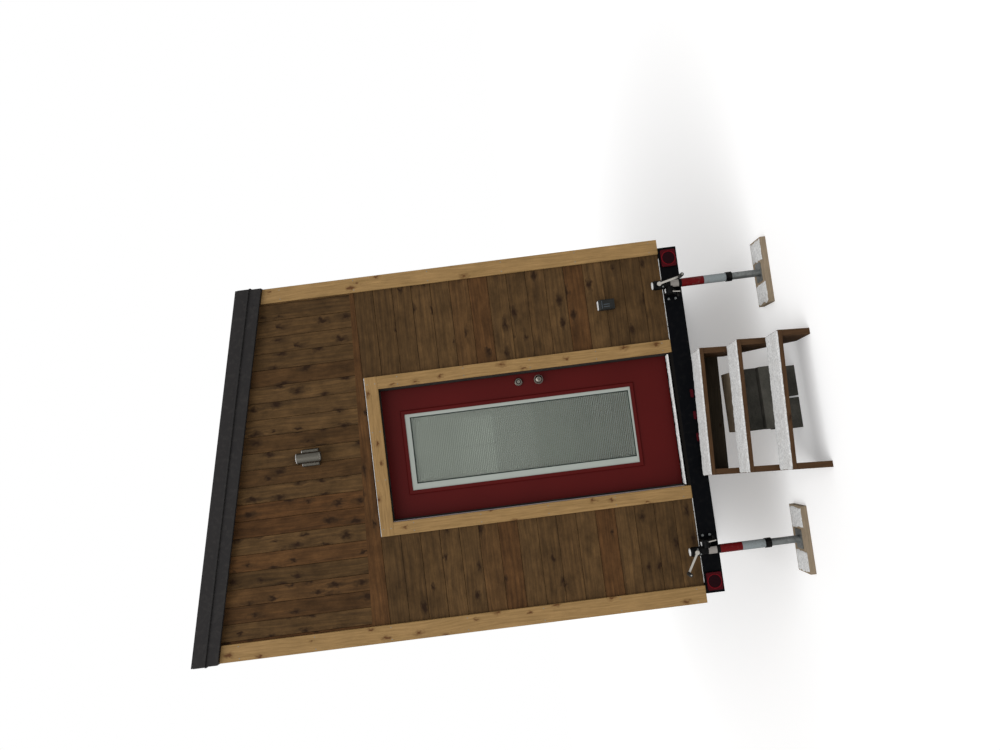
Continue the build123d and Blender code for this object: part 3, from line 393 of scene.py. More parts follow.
# Trim: the same pine under a clear stain, so it keeps its honey colour, fine grain and brown knots.
trim = dict(knot="4f2c10", tone=0.08, knot_mm=26, spacing_mm=110, knots=0.55, streak_mm=12, contrast=0.7,
            blotch=0.3, rough=0.6, gloss=0.15)
trim_upright = sawn_pine("clear_stained_pine_upright", "Z", "9d7d51", "84683f", **trim)
trim_level = sawn_pine("clear_stained_pine_level", "X", "9d7d51", "84683f", **trim)
trim_side = sawn_pine("clear_stained_pine_side", "Y", "9d7d51", "84683f", **trim)
# Inside: bare pine lining, fir plywood floor and the underside of the roof panels, all pale and unfinished.
inner_lining = sawn_pine("bare_pine_lining", "LEVEL", "a08a68", "8c7350", "5a3c20")
floor_ply = sawn_pine("fir_plywood_floor", "Y", "a5865c", "8f6f45", "54361f", streak_mm=25)
roof_panel = sawn_pine("spruce_roof_panel", "Y", "9a7b52", "80623c", "54361f", streak_mm=25)
# Steps: construction fir under the same walnut stain, straighter in the grain and with few knots.
fir = dict(knot="22150c", tone=0.2, knot_mm=16, spacing_mm=260, knots=0.6, streak_mm=7, contrast=0.45, gloss=0.1)
step_level = sawn_pine("walnut_stained_fir_level", "X", "5c422b", "3b2a1c", **fir)
step_upright = sawn_pine("walnut_stained_fir_upright", "Z", "5c422b", "3b2a1c", **fir)
# Riser board: the same fir under the same stain, drawn darker and greyer. This is painted shade, for it stands in
# the shade under the tread above it, and part of the grey is weathering.
riser_painted_shade = sawn_pine("stained_fir_riser_painted_shade", "X", "40372b", "2a241c", **fir)
# Ground boards: old offcuts that rain and grit have turned grey-brown.
ground_board = sawn_pine("weathered_offcut", "X", "a3937d", "7c6d5a", "4a3b2c", tone=0.2, rough=0.85)
# Roof and its edges: colour-coated steel, charcoal, with a low even sheen.
edge_steel = painted_steel("charcoal_coated_edge_steel", "262424", 0.5, gloss=0.1, dust=0.04)
roof_steel = painted_steel("charcoal_coated_roof_steel", "313032", 0.45, dust=0.05)
# Trailer and jacks: black chassis enamel and black powder coat, which read as near black with dull edges.
chassis_black = painted_steel("black_chassis_enamel", "010205", 0.42, gloss=0.05, dust=0.01)
jack_black = painted_steel("black_powder_coat", "050506", 0.4, gloss=0.08)
wheel_silver = painted_steel("silver_wheel_enamel", "8f9193", 0.38, gloss=0.3)
label_white = painted_steel("bare_white_label", "938e89", 0.5, gloss=0.2, dust=0.15)
# Wall lamp: brushed stainless tube, drawn upright so that its sheen runs down it.
lamp_steel = plain_metal("brushed_stainless_lamp", "5d5a53", "2f2d28", 0.3, stretch=(1, 1, 0.06))
# Door furniture: satin nickel, a warm soft metal; keyholes and gaps in it are dark.
nickel = plain_metal("satin_nickel", "827d75", "4c4842", 0.2)
# Door sill: aluminium extrusion, anodised dark bronze, with the faint lines of its die along it.
sill_metal = plain_metal("dark_bronze_anodised_sill", "1b1918", "100f0e", 0.4, stretch=(0.06, 1, 1))
# Jack legs and pins: hot-dip zinc, dull grey with spangle. Crank arms: bright zinc plate.
zinc = plain_metal("hot_dip_zinc", "898c8a", "66696a", 0.4, spangle=0.6)
bright_zinc = plain_metal("bright_zinc_plate", "c4c0b8", "8c8a86", 0.25)
# Plastics: window frames, socket cover, grips, seals. Even, matt and a little bloomed.
window_dark = moulded_plastic("dark_window_extrusion", "1c1c1d", 0.5)
lite_pale = moulded_plastic("pale_lite_frame_moulding", "a2a8a1", 0.5, gloss=0.2)
# Door jamb: drawn dark brown as painted shade, for it stands back in the doorway.
jamb_painted_shade = moulded_plastic("jamb_dark_painted_shade", "2c2321", 0.6, gloss=0.1)
# Jamb edge: a pale strip, a painted highlight where light falls on the doorway's edge.
jamb_painted_highlight = moulded_plastic("jamb_edge_painted_highlight", "8d8487", 0.6, gloss=0.1)
seal_black = moulded_plastic("black_foam_seal", "0e0c0c", 0.8, gloss=0.1)
lite_seal = moulded_plastic("dark_green_glazing_seal", "26332d", 0.6, gloss=0.2)
cover_grey = moulded_plastic("charcoal_socket_cover", "050607", 0.35, gloss=0.1)
# Socket lid ribs: drawn lighter than the lid, as a painted highlight on their raised edges.
cover_rib_highlight = moulded_plastic("socket_lid_rib_painted_highlight", "3b434a", 0.3, gloss=0.2)
grip_black = moulded_plastic("black_grip_rubber", "0d0d0e", 0.65, gloss=0.2)
lamp_frost = moulded_plastic("frosted_lamp_glass", "b9b6ad", 0.4)
# Tyres: carbon-black rubber, matt, greyed by road dust.
tyre_rubber = moulded_plastic("tyre_rubber", "171717", 0.85, gloss=0.15, grain_mm=4)
# Blind between the door's panes: powder-coated aluminium slats, grey-green behind the glass.
slat_paint = moulded_plastic("powder_coated_slat", "a9aea6", 0.55, gloss=0.1)
# Bands of the jack legs: reflective sheeting, which by day is a dull red and a dull silver.
band_red = reflective_tape("red_reflective_tape", "620d10", "48080b")
band_silver = reflective_tape("silver_reflective_tape", "878e90", "6d7475")
# Tail lamps: red acrylic, deep in the lamp's body and lens, and brighter in its ring.
lens_frame = moulded_lens("red_lamp_body", "480a12", "36070d")
lens_dark = moulded_lens("deep_red_lamp_lens", "22040a", "140206")
lens_bright = moulded_lens("red_marker_lens", "6c0f17", "560b12")
# Door leaf, panes, block stack and snow: each has a function of its own above, which says what it is.
door_skin = embossed_door_skin()
glass = float_glass()
concrete = cast_concrete()
snow = fresh_snow()


# Making pieces. Places are in metres. A section's sizes, a radius and an easing are in millimetres


def moved(point, x=0, y=0, z=0):
    """A point moved by some millimetres."""
    return point[0] + x * MM, point[1] + y * MM, point[2] + z * MM


def ring_points(axis, centre, along, radius, sides, start=0.0):
    """Points of a circle round an axis. The centre gives the two places across it."""
    points = []
    for number in range(sides):
        turn = start + 2 * math.pi * number / sides
        u, v = centre[0] + radius * math.cos(turn), centre[1] + radius * math.sin(turn)
        points.append({"x": (along, u, v), "y": (u, along, v), "z": (u, v, along)}[axis])
    return points


class Stock:
    """Gathers the solids of one piece into one mesh. Each solid has a number that its material can read."""

    def __init__(self, name):
        self.name = name
        self.points = []
        self.faces = []
        self.tones = []

    def solid(self, points, faces, tone=None):
        """Any solid, from its points and faces."""
        start = len(self.points)
        tone = chance.random() if tone is None else tone
        self.points += [tuple(p) for p in points]
        for face in faces:
            self.faces.append([start + i for i in face])
            self.tones.append(tone)

    def rings(self, rings, tone=None, closed=False):
        """Skin through rings of as many points each, with its ends capped, or closed on itself."""
        count = len(rings[0])
        points = [p for ring in rings for p in ring]
        faces = [] if closed else [list(range(count)), [len(points) - 1 - i for i in range(count)]]
        last = len(rings) if closed else len(rings) - 1
        for level in range(last):
            a, b = level * count, (level + 1) % len(rings) * count
            for i in range(count):
                j = (i + 1) % count
                faces.append([a + i, b + i, b + j, a + j])
        self.solid(points, faces, tone)

    def box(self, low, high, eased=0.0, tone=None):
        """A block. Its edges along the longest side are eased by some millimetres."""
        size = [high[k] - low[k] for k in range(3)]
        run = size.index(max(size))
        a, b = [k for k in range(3) if k != run]
        a0, a1, b0, b1, e = low[a], high[a], low[b], high[b], eased * MM
        outline = [(a0, b0), (a1, b0), (a1, b1), (a0, b1)]
        if eased:
            outline = [(a0 + e, b0), (a1 - e, b0), (a1, b0 + e), (a1, b1 - e), (a1 - e, b1), (a0 + e, b1),
                       (a0, b1 - e), (a0, b0 + e)]
        rings = []
        for end in (low[run], high[run]):
            ring = []
            for p in outline:
                point = [0.0, 0.0, 0.0]
                point[run], point[a], point[b] = end, p[0], p[1]
                ring.append(tuple(point))
            rings.append(ring)
        self.rings(rings, tone)

    def turned(self, axis, centre, at, profile, sides=24, closed=False, start=0.0, tone=None):
        """A turned solid, from pairs of millimetres on from a place along its axis and radius."""
        rings = [ring_points(axis, centre, at + w * MM, r * MM, sides, start) for w, r in profile]
        self.rings(rings, tone, closed)

    def sleeve(self, centre, low, high, inner, outer, sides):
        """A ring round an upright tube, between two heights."""
        profile = [(low, inner), (low, outer), (high, outer), (high, inner)]
        self.turned("z", centre, 0.0, profile, sides, closed=True)

    def bar(self, start, end, radius, sides=10):
        """A round bar between two points."""
        start, end = Vector(start), Vector(end)
        way = (end - start).normalized()
        side = way.orthogonal().normalized()
        other = way.cross(side)
        rings = []
        for point in (start, end):
            turns = [2 * math.pi * n / sides for n in range(sides)]
            rings.append([point + (side * math.cos(t) + other * math.sin(t)) * radius * MM for t in turns])
        self.rings(rings)

    def finish(self, body, material, slot=None, replaces=()):
        """Make the piece, and give it its material, its body and the nodes that it stands for. Its slot is not
        used.
        """
        mesh = bpy.data.meshes.new(self.name)
        mesh.from_pydata(self.points, [], self.faces)
        mesh.attributes.new("board", "FLOAT", "FACE").data.foreach_set("value", self.tones)
        work = bmesh.new()
        work.from_mesh(mesh)
        bmesh.ops.recalc_face_normals(work, faces=work.faces)
        work.to_mesh(mesh)
        work.free()
        mesh.shade_smooth()
        mesh.set_sharp_from_angle(angle=math.radians(32))
        obj = bpy.data.objects.new(self.name, mesh)
        bpy.context.scene.collection.objects.link(obj)
        return dress(obj, body, material, replaces)


def dress(obj, body, material, replaces=()):
    """Give an object its material, its body and the nodes that it stands for."""
    obj.data.materials.clear()
    obj.data.materials.append(material)
    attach(obj, body)
    if replaces:
        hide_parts(*replaces)
    return obj


def ease(node, width):
    """Break the sharp edges of a solid, as sandpaper, rolling or casting leaves them."""
    obj = frame["nodes"][node]
    weld = obj.modifiers.new("joined_faces", "WELD")
    weld.merge_threshold = SAME
    bevel = obj.modifiers.new("eased_edges", "BEVEL")
    bevel.width = width
    bevel.segments = 2
    bevel.limit_method = "ANGLE"
    bevel.angle_limit = math.radians(40)


def cut(polygon, a, b, c):
    """The part of a convex polygon where a*u + b*v is at most c."""
    kept = []
    for i, p in enumerate(polygon):
        q = polygon[(i + 1) % len(polygon)]
        side_p = a * p[0] + b * p[1] - c
        side_q = a * q[0] + b * q[1] - c
        if side_p <= 0:
            kept.append(p)
        if (side_p < 0 < side_q) or (side_q < 0 < side_p):
            t = side_p / (side_p - side_q)
            kept.append((p[0] + (q[0] - p[0]) * t, p[1] + (q[1] - p[1]) * t))
    return kept


def without(polygons, hole):
    """Convex polygons with a convex hole, given anticlockwise, taken out of them."""
    kept, rest = [], polygons
    for i, p in enumerate(hole):
        q = hole[(i + 1) % len(hole)]
        a, b = q[1] - p[1], p[0] - q[0]
        c = a * p[0] + b * p[1]
        kept += [cut(polygon, -a, -b, -c) for polygon in rest]
        rest = [cut(polygon, a, b, c) for polygon in rest]
        rest = [polygon for polygon in rest if len(polygon) > 2]
    return [polygon for polygon in kept if len(polygon) > 2]


def area(polygon):
    """Area of a polygon."""
    pairs = zip(polygon, polygon[1:] + polygon[:1])
    return abs(sum(p[0] * q[1] - q[0] * p[1] for p, q in pairs)) / 2


def rectangle(u0, u1, v0, v1):
    """Corners of a rectangle, anticlockwise."""
    return [(u0, v0), (u1, v0), (u1, v1), (u0, v1)]


def border(u0, u1, v0, v1, width):
    """Four strips inside the edge of a rectangle: two upright, then the foot and the head."""
    inner0, inner1 = u0 + width, u1 - width
    return [(u0, inner0, v0, v1), (inner1, u1, v0, v1), (inner0, inner1, v0, v0 + width),
            (inner0, inner1, v1 - width, v1)]


# Boards of the walls

SIDING = 18 * MM
ROW = 135 * MM
UPRIGHT = 114 * MM
GROOVE = 2.8 * MM
GROOVE_DEPTH = 3 * MM
BOARD_GAP = 0.6 * MM
SMALLEST_OFFCUT = 40 * MM * MM
STAGGER = 0.5  # how far the ends of the boards stray along a wall, in metres


def lay_board(stock, polygon, across, low, high, place, tone):
    """One shiplap board: its face is drawn in along its two long edges, which leaves the V of the joint."""
    if len(polygon) < 3 or area(polygon) < SMALLEST_OFFCUT:
        return

    def drawn(point, inset):
        shifted = list(point)
        if abs(point[across] - low) < SAME:
            shifted[across] += inset
        if abs(point[across] - high) < SAME:
            shifted[across] -= inset
        return shifted

    levels = ((SIDING, BOARD_GAP), (GROOVE_DEPTH, BOARD_GAP), (0.0, GROOVE))
    stock.rings([[place(*drawn(p, inset), depth) for p in polygon] for depth, inset in levels], tone)


def lay_rows(stock, start, end, top, place, holes=(), limits=(), joints=()):
    """Level boards from the foot to the top of a wall, cut round its holes and at its sloping limits."""
    for row in range(math.ceil((top - WALL_FOOT) / ROW)):
        low, high = WALL_FOOT + row * ROW, min(WALL_FOOT + (row + 1) * ROW, top)
        stops = [start, *sorted(joint + chance.uniform(-STAGGER, STAGGER) for joint in joints), end]
        for left, right in zip(stops, stops[1:]):
            tone = chance.random()
            pieces = [rectangle(left, right, low, high)]
            for hole in holes:
                pieces = without(pieces, hole)
            for polygon in pieces:
                for limit in limits:
                    polygon = cut(polygon, *limit)
                lay_board(stock, polygon, 1, low, high, place, tone)


def wall_core(node, faces):
    """A copy of a wall, with its outer faces drawn in by the thickness of the boards."""
    source = frame["nodes"][node]
    core = source.copy()
    core.data = source.data.copy()
    core.name = node + "_core"
    if "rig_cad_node" in core:
        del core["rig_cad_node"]
    for point in core.data.vertices:
        for axis, place, inward in faces:
            if abs(point.co[axis] - place) < 10 * SAME:
                point.co[axis] += inward * SIDING
    bpy.context.scene.collection.objects.link(core)
    dress(core, "house", inner_lining, (node,))


# Door end: level boards up to a sloping joint over the door, and upright boards above it. The joint is
# given by its heights at two places across the house
JOINT_LEFT, JOINT_RIGHT = 2.981, 2.887
JOINT_START, JOINT_RUN = -1.138, 2.264
LEVEL_TOP = 3.05
joint_tilt = (JOINT_RIGHT - JOINT_LEFT) / JOINT_RUN


def joint_line(x):
    """Height of the joint between the level and the upright boards."""
    return JOINT_LEFT + (x - JOINT_START) * joint_tilt


def rear_place(u, v, depth):
    """A point on the door end."""
    return (u, REAR + depth, v)


def front_place(u, v, depth):
    """A point on the tongue end."""
    return (u, FRONT - depth, v)


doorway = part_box("rear_wall_over_door")
stock = Stock("rear_level_boards")
lay_rows(stock, -HALF_WIDTH, HALF_WIDTH, LEVEL_TOP, rear_place,
         holes=[rectangle(doorway[0][0], doorway[1][0], 0.0, doorway[0][2])],
         limits=[(-joint_tilt, 1.0, JOINT_LEFT - JOINT_START * joint_tilt)])
stock.finish("house", siding_level, "siding")

stock = Stock("rear_upright_boards")
for number in range(math.ceil(2 * HALF_WIDTH / UPRIGHT)):
    left = -HALF_WIDTH + number * UPRIGHT
    right = min(left + UPRIGHT, HALF_WIDTH)
    outline = [(left, joint_line(left)), (right, joint_line(right)), (right, roof_line(right)),
               (left, roof_line(left))]
    lay_board(stock, outline, 0, left, right, rear_place, chance.random())
stock.finish("house", siding_upright, "siding")
both_ends = [(0, -HALF_WIDTH, 1), (0, HALF_WIDTH, -1)]
wall_core("rear_wall_beside_door", [(1, REAR, 1), *both_ends])
wall_core("rear_wall_over_door", [(1, REAR, 1)])

# Long sides: level boards all the way up, cut round the windows and the wheel arch. Each row is three
# boards long
SIDE_JOINTS = (REAR + 2.4, REAR + 4.9)
ARCH_SHOULDER = 150 * MM
NEAR_FRONT = FRONT - 0.2  # a window that reaches past this is the one on the tongue end
window_boxes = boxes_of("window_frames")
arch_low, arch_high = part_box("wheel_arches")
arch_hole = [(arch_low[1], 0.0), (arch_high[1], 0.0), (arch_high[1], WALL_FOOT),
             (arch_high[1] - ARCH_SHOULDER, arch_high[2]), (arch_low[1] + ARCH_SHOULDER, arch_high[2]),
             (arch_low[1], WALL_FOOT)]
for side, name in ((-1, "high_side_boards"), (1, "low_side_boards")):
    face = side * HALF_WIDTH

    def side_place(u, v, depth, face=face, side=side):
        return (face - side * depth, u, v)

    holes = [arch_hole]
    for low, high in window_boxes:
        if high[1] < NEAR_FRONT and (low[0] + high[0]) * side > 0:
            holes.append(rectangle(low[1], high[1], low[2], high[2]))
    stock = Stock(name)
    lay_rows(stock, REAR, FRONT, roof_line(face), side_place, holes=holes, joints=SIDE_JOINTS)
    stock.finish("house", siding_level, "siding")
wall_core("side_walls", both_ends)

# Tongue end: level boards cut along the slope of the roof
stock = Stock("front_boards")
low, high = next(box for box in window_boxes if box[1][1] > NEAR_FRONT)
lay_rows(stock, -HALF_WIDTH, HALF_WIDTH, roof_line(-HALF_WIDTH), front_place,
         holes=[rectangle(low[0], high[0], low[2], high[2])],
         limits=[(ROOF_SLOPE, 1.0, EAVE_LOW + HALF_WIDTH * ROOF_SLOPE)])
stock.finish("house", siding_level, "siding")
wall_core("front_wall", [(1, FRONT, -1), *both_ends])


# Trim: nails in pairs every 450 mm, with heads of 7 mm that stand 0.5 mm proud

NAIL, NAIL_RIM, NAIL_PROUD = 3.5, 2.8, 0.5
NAIL_INSET = 18 * MM
NAIL_SPACING = 0.45
NAIL_FOOT, NAIL_ENDS = 0.06, 0.2
HEAD_ENDS = 0.05
stock = Stock("trim_nails")
for low, high in boxes_of("door_side_trims") + boxes_of("end_corner_boards"):
    outward, face = (-1, low[1]) if low[1] < 0 else (1, high[1])
    count = round((high[2] - low[2]) / NAIL_SPACING)
    for number in range(count):
        z = low[2] + NAIL_FOOT + (high[2] - low[2] - NAIL_ENDS) * number / (count - 1)
        for x in (low[0] + NAIL_INSET, high[0] - NAIL_INSET):
            stock.turned("y", (x, z), face, [(0, NAIL), (outward * NAIL_PROUD, NAIL_RIM)], 8)
low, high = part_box("door_head_trim")
for number in range(4):
    x = low[0] + HEAD_ENDS + (high[0] - low[0] - 2 * HEAD_ENDS) * number / 3
    for z in (low[2] + NAIL_INSET, high[2] - NAIL_INSET):
        stock.turned("y", (x, z), low[1], [(0, NAIL), (-NAIL_PROUD, NAIL_RIM)], 8)
stock.finish("house", zinc, "galvanised")


# Door: panes with a blind between them, seals, keyways, and the strips round it

PANE = 3 * MM
sight_low, sight_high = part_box("door_glass")
stock = Stock("door_panes")
stock.box(sight_low, (sight_high[0], sight_low[1] + PANE, sight_high[2]))
stock.box((sight_low[0], sight_high[1] - PANE, sight_low[2]), sight_high)
stock.finish("door", glass, "glass", ("door_glass",))

SLAT_PITCH = 13 * MM
SLAT_WIDTH = 13.4 * MM
SLAT_CROWN = 3 * MM
SLAT_SHEET = 0.3 * MM
SLAT_SECTION = ((-0.5, 0), (-0.17, 0), (0.17, 0), (0.5, 0), (0.17, 1), (-0.17, 1))
# Lean of the slats in degrees: at the top, what it loses down to the foot, and its play
SHUT, OPENING, SLAT_PLAY = 82, 50, 1.5
CORDS = (0.16, 0.84)
BLIND_FRONT = 6 * MM
blind_y = (sight_low[1] + sight_high[1]) / 2
blind_x0, blind_x1 = sight_low[0] + 4 * MM, sight_high[0] - 4 * MM
blind_top, blind_foot = sight_high[2] - 20 * MM, sight_low[2] + 14 * MM
stock = Stock("blind_slats")
count = round((blind_top - blind_foot) / SLAT_PITCH)
for number in range(count):
    z = blind_foot + (number + 0.5) * (blind_top - blind_foot) / count
    lean = math.radians(SHUT - OPENING * (1 - number / count) + chance.uniform(-SLAT_PLAY, SLAT_PLAY))
    ring = []
    for step, thick in SLAT_SECTION:
        crown = (0.25 - step * step) * SLAT_CROWN + thick * SLAT_SHEET
        run = step * SLAT_WIDTH
        y = run * math.cos(lean) - crown * math.sin(lean)
        up = run * math.sin(lean) + crown * math.cos(lean)
        ring.append((blind_y + y, z + up))
    stock.rings([[(x, *spot) for spot in ring] for x in (blind_x0, blind_x1)])
stock.finish("door", slat_paint)

stock = Stock("blind_rails")
for z0, z1 in ((blind_top, sight_high[2] - 1 * MM), (sight_low[2] + 1 * MM, blind_foot - 1 * MM)):
    stock.box((blind_x0, blind_y - BLIND_FRONT, z0), (blind_x1, blind_y + BLIND_FRONT, z1), 1)
for share in CORDS:
    cord = (blind_x0 + (blind_x1 - blind_x0) * share, blind_y - BLIND_FRONT - 0.4 * MM)
    stock.bar((*cord, blind_foot), (*cord, blind_top), 0.5, 6)
stock.finish("door", lite_pale)

stock = Stock("lite_gasket")
for face, outward in ((sight_low[1], -1), (sight_high[1], 1)):
    y0, y1 = sorted((face, face + outward * 1.5 * MM))
    for x0, x1, z0, z1 in border(sight_low[0], sight_high[0], sight_low[2], sight_high[2], 7 * MM):
        stock.box((x0, y0, z0), (x1, y1, z1))
stock.finish("door", lite_seal)

KNOB_HEIGHT, BOLT_HEIGHT = 1637 * MM, 1779 * MM
knob = (LOCK_X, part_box("door_knobs")[0][1], KNOB_HEIGHT)
bolt = (LOCK_X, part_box("lock_plates")[0][1], BOLT_HEIGHT)
for name, material, slot, knob_part, bolt_part in (
    ("keyway_rings", seal_black, None, [(1, 9), (-0.6, 8.4)], [(0, 19), (-0.8, 18)]),
    ("key_cylinders", nickel, "bright_metal", [(0, 6.2), (-1.6, 5.8)], [(0, 12), (-2, 11)]),
):
    stock = Stock(name)
    for (x, face, z), profile in ((knob, knob_part), (bolt, bolt_part)):
        stock.turned("y", (x, z), face, profile)
    stock.finish("door", material, slot)
stock = Stock("key_slots")
for spot, reach in ((moved(knob, y=-1.6), 4), (moved(bolt, y=-2), 5)):
    stock.box(moved(spot, -0.9, -0.3, -reach), moved(spot, 0.9, 0, reach))
stock.finish("door", seal_black)

slab_low, slab_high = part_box("door_slab")
stop_x, door_top = slab_high[0] - 5 * MM, slab_high[2]
seal_y0, seal_y1 = REAR + 50 * MM, REAR + 53 * MM
# Black foam seal round the leaf, 10 mm wide on the hinge side and 1 mm on the other: partly a real seal, partly
# painted shade in the gap between leaf and trim.
stock = Stock("door_seal")
for side, width in ((-1, 10 * MM), (1, 1 * MM)):
    x0, x1 = sorted((side * (stop_x - 3 * MM), side * (stop_x + width)))
    stock.box((x0, seal_y0, slab_low[2]), (x1, seal_y1, door_top + 4 * MM), 1)
stock.box((-stop_x, seal_y0, door_top - 8 * MM), (stop_x, seal_y1, door_top + 4 * MM), 1)
stock.finish("house", seal_black)

# A pale strip beside the hinge side's trim, on that side only: a painted highlight where light catches the
# doorway's edge.
hinge_trim = min(separate_solids("door_side_trims"), key=lambda points: points[0].x)
strip_x = box_of(hinge_trim)[1][0]
strip_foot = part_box("door_jambs")[0][2] + 40 * MM
stock = Stock("jamb_highlight_strip")
stock.box((strip_x, REAR - 1.5 * MM, strip_foot), (strip_x + 6 * MM, REAR, door_top + 8 * MM), 0.5)
stock.finish("house", jamb_painted_highlight)

HINGE_FACE = REAR + 133 * MM
stock = Stock("hinge_screws")
for low, high in boxes_of("door_hinges"):
    for share in (0.2, 0.5, 0.8):
        z = low[2] + (high[2] - low[2]) * share
        stock.turned("y", (low[0] + 10 * MM, z), HINGE_FACE, [(0, 4.5), (0.8, 3.5)], 12)
stock.finish("house", nickel, "bright_metal")


# Wall lamp and socket

PLATE, PLATE_DEPTH, PLATE_EDGE = 115 * MM, 28 * MM, 1.2 * MM
LAMP_RADIUS = 37.5 * MM
LAMP_SCREW_ENDS, LAMP_SCREW_SIDES = 48 * MM, 12 * MM
low, high = lamp_low, lamp_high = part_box("wall_lamp")
lamp_axis = ((low[0] + high[0]) / 2, low[1] + LAMP_RADIUS)
plate_face, plate_foot = high[1] - PLATE_DEPTH, (low[2] + high[2]) / 2 - PLATE / 2
stock = Stock("lamp_lenses")
for end, way in ((low[2], 1), (high[2], -1)):
    stock.turned("z", lamp_axis, end, [(way * 9.5, 34), (way * 6, 34), (way * 5, 31)], 32)
stock.finish("house", lamp_frost)
# Black strips over the plate's two side faces: painted shade along the plate's sides.
stock = Stock("lamp_plate_side_shade")
for x0, x1 in ((low[0] - PLATE_EDGE, low[0]), (high[0], high[0] + PLATE_EDGE)):
    stock.box((x0, plate_face + 4 * MM, plate_foot), (x1, high[1], plate_foot + PLATE))
stock.finish("house", seal_black)
stock = Stock("lamp_screws")
for z in (low[2] + LAMP_SCREW_ENDS, high[2] - LAMP_SCREW_ENDS):
    for x in (low[0] + LAMP_SCREW_SIDES, high[0] - LAMP_SCREW_SIDES):
        stock.turned("y", (x, z), plate_face, [(0, 3.5), (-1.5, 2.5)], 12)
stock.finish("house", lamp_steel)

low, high = socket_low, socket_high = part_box("outlet_box")
left_top, right_top = (low[0], low[1], high[2]), (high[0], low[1], high[2])
stock = Stock("socket_lid")
stock.box(moved(low, 4, -2.5, 12), moved(right_top, -4, 0, -20), 2)
stock.finish("house", cover_grey)
# The ribs are lighter than the lid: a painted highlight on their raised edges.
stock = Stock("socket_lid_ribs")
for share in (0.28, 0.5):
    x = low[0] + (high[0] - low[0]) * share
    stock.box(moved((x, low[1], low[2]), -3, -4, 34), moved((x, low[1], high[2]), 3, -2.5, -34), 1)
stock.box(moved(left_top, 8, -4.5, -26), moved(right_top, -8, -2.5, -21), 1)
stock.finish("house", cover_rib_highlight)
stock = Stock("socket_hinge")
stock.bar(moved(left_top, 6, -1, -17), moved(right_top, -6, -1, -17), 3, 12)
stock.finish("house", cover_grey)


# Roof edge: painted screws in the lower band

FASCIA_FACE, FASCIA_RISE = 52 * MM, 22 * MM
SCREW_START, SCREW_PITCH = -1.15, 0.46
stock = Stock("fascia_screws")
for outward, face in ((-1, REAR - FASCIA_FACE), (1, FRONT + FASCIA_FACE)):
    for number in range(6):
        x = SCREW_START + number * SCREW_PITCH
        stock.turned("y", (x, roof_line(x) + FASCIA_RISE), face, [(0, 5), (outward * 1.5, 3.5)], 6)
stock.finish("house", edge_steel, "edge_metal")


# Windows: a sash rail across the glass, with dark beads round the panes

FACE = 45 * MM
BEAD = 8 * MM
HALF_RAIL = 18 * MM
BEAD_FACE, RAIL_FACE, GLASS_FACE = 22 * MM, 16 * MM, 30.5 * MM
beads, rails = Stock("window_beads"), Stock("window_sash_rails")
for low, high in window_boxes:
    on_end = high[1] > NEAR_FRONT
    run = 0 if on_end else 1
    u0, u1, z0, z1 = low[run] + FACE, high[run] - FACE, low[2] + FACE, high[2] - FACE
    half, middle = (u0 + u1) / 2, (z0 + z1) / 2
    if on_end:
        out, deep = high[1], -1
        rail = (half - HALF_RAIL, half + HALF_RAIL, z0 + BEAD, z1 - BEAD)
    else:
        out, deep = (low[0], 1) if low[0] < 0 else (high[0], -1)
        rail = (u0 + BEAD, u1 - BEAD, middle - HALF_RAIL, middle + HALF_RAIL)
    bars = [(beads, strip, BEAD_FACE) for strip in border(u0, u1, z0, z1, BEAD)]
    for target, (a0, a1, foot, head), near in [*bars, (rails, rail, RAIL_FACE)]:
        b0, b1 = sorted((out + deep * near, out + deep * GLASS_FACE))
        if on_end:
            target.box((a0, b0, foot), (a1, b1, head), 1.5)
        else:
            target.box((b0, a0, foot), (b1, a1, head), 1.5)
beads.finish("house", seal_black)
rails.finish("house", window_dark, "window_frame")


# Trailer: lamps, wheels, coupler and drawbar jack

BEZEL = 3 * MM
ROUND_LENS = 0.05  # a lamp that is taller than this, in metres, has a round lens in a ring
frames, lenses, bezels = Stock("tail_lamp_rings"), Stock("tail_lamp_lenses"), Stock("lamp_bezels")
for (x0, front, z0), (x1, _, z1) in boxes_of("rear_lights"):
    centre = ((x0 + x1) / 2, (z0 + z1) / 2)
    for left, right, foot, head in (
        (x0 - BEZEL, x0, z0, z1), (x1, x1 + BEZEL, z0, z1), (x0 - BEZEL, x1 + BEZEL, z0 - BEZEL, z0),
        (x0 - BEZEL, x1 + BEZEL, z1, z1 + BEZEL),
    ):
        bezels.box((left, BEAM_FACE - 6 * MM, foot), (right, BEAM_FACE, head), 0.5)
    if z1 - z0 > ROUND_LENS:
        frames.turned("y", centre, front, [(0, 50), (-3, 49), (-3, 44), (0, 43)], 48, closed=True)
        lenses.turned("y", centre, front, [(0, 44), (-1.5, 42), (-2.5, 20)], 48)
frames.finish("house", lens_bright)
lenses.finish("house", lens_dark)
bezels.finish("house", chassis_black)

wheels = []
for low, high in boxes_of("tyres"):
    x, y, z = [(a + b) / 2 for a, b in zip(low, high)]
    wheels.append((x, (y, z), 1 if x > 0 else -1))

# Tyres: ribs between three grooves on each side of the middle, with notches cut into the shoulder
TYRE_RADIUS = 345 * MM
BEAD_RADIUS = 192 * MM
AROUND = 144
TREAD = [(0, 0), (3, 0), (4, 7), (10, 7), (11, 0), (34, 0), (35, 7), (41, 7), (42, 0), (64, 0.8), (65, 7),
         (70, 7), (71, 1.5), (84, 6)]
SIDEWALL = [(95, 18), (101, 40), (102.5, 62), (101, 84), (96, 108), (88, 132), (82, 150)]
RIM_LIP = [(-88, 190), (-88, 203), (-84, 203), (-80, 191), (-60, 184), (60, 184), (80, 191), (84, 203),
           (88, 203), (88, 190), (82, 184), (60, 178), (-60, 178), (-82, 184)]
HUB_FACE, NUT_CIRCLE, NUT_START = 54.6, 57 * MM, 0.3
HUB_CAP = [(0, 34), (4, 34), (5, 29), (24, 28), (29, 20)]
tyres, barrels, nuts, caps = Stock("treaded_tyres"), Stock("rim_barrels"), Stock("wheel_nuts"), Stock("hub_caps")
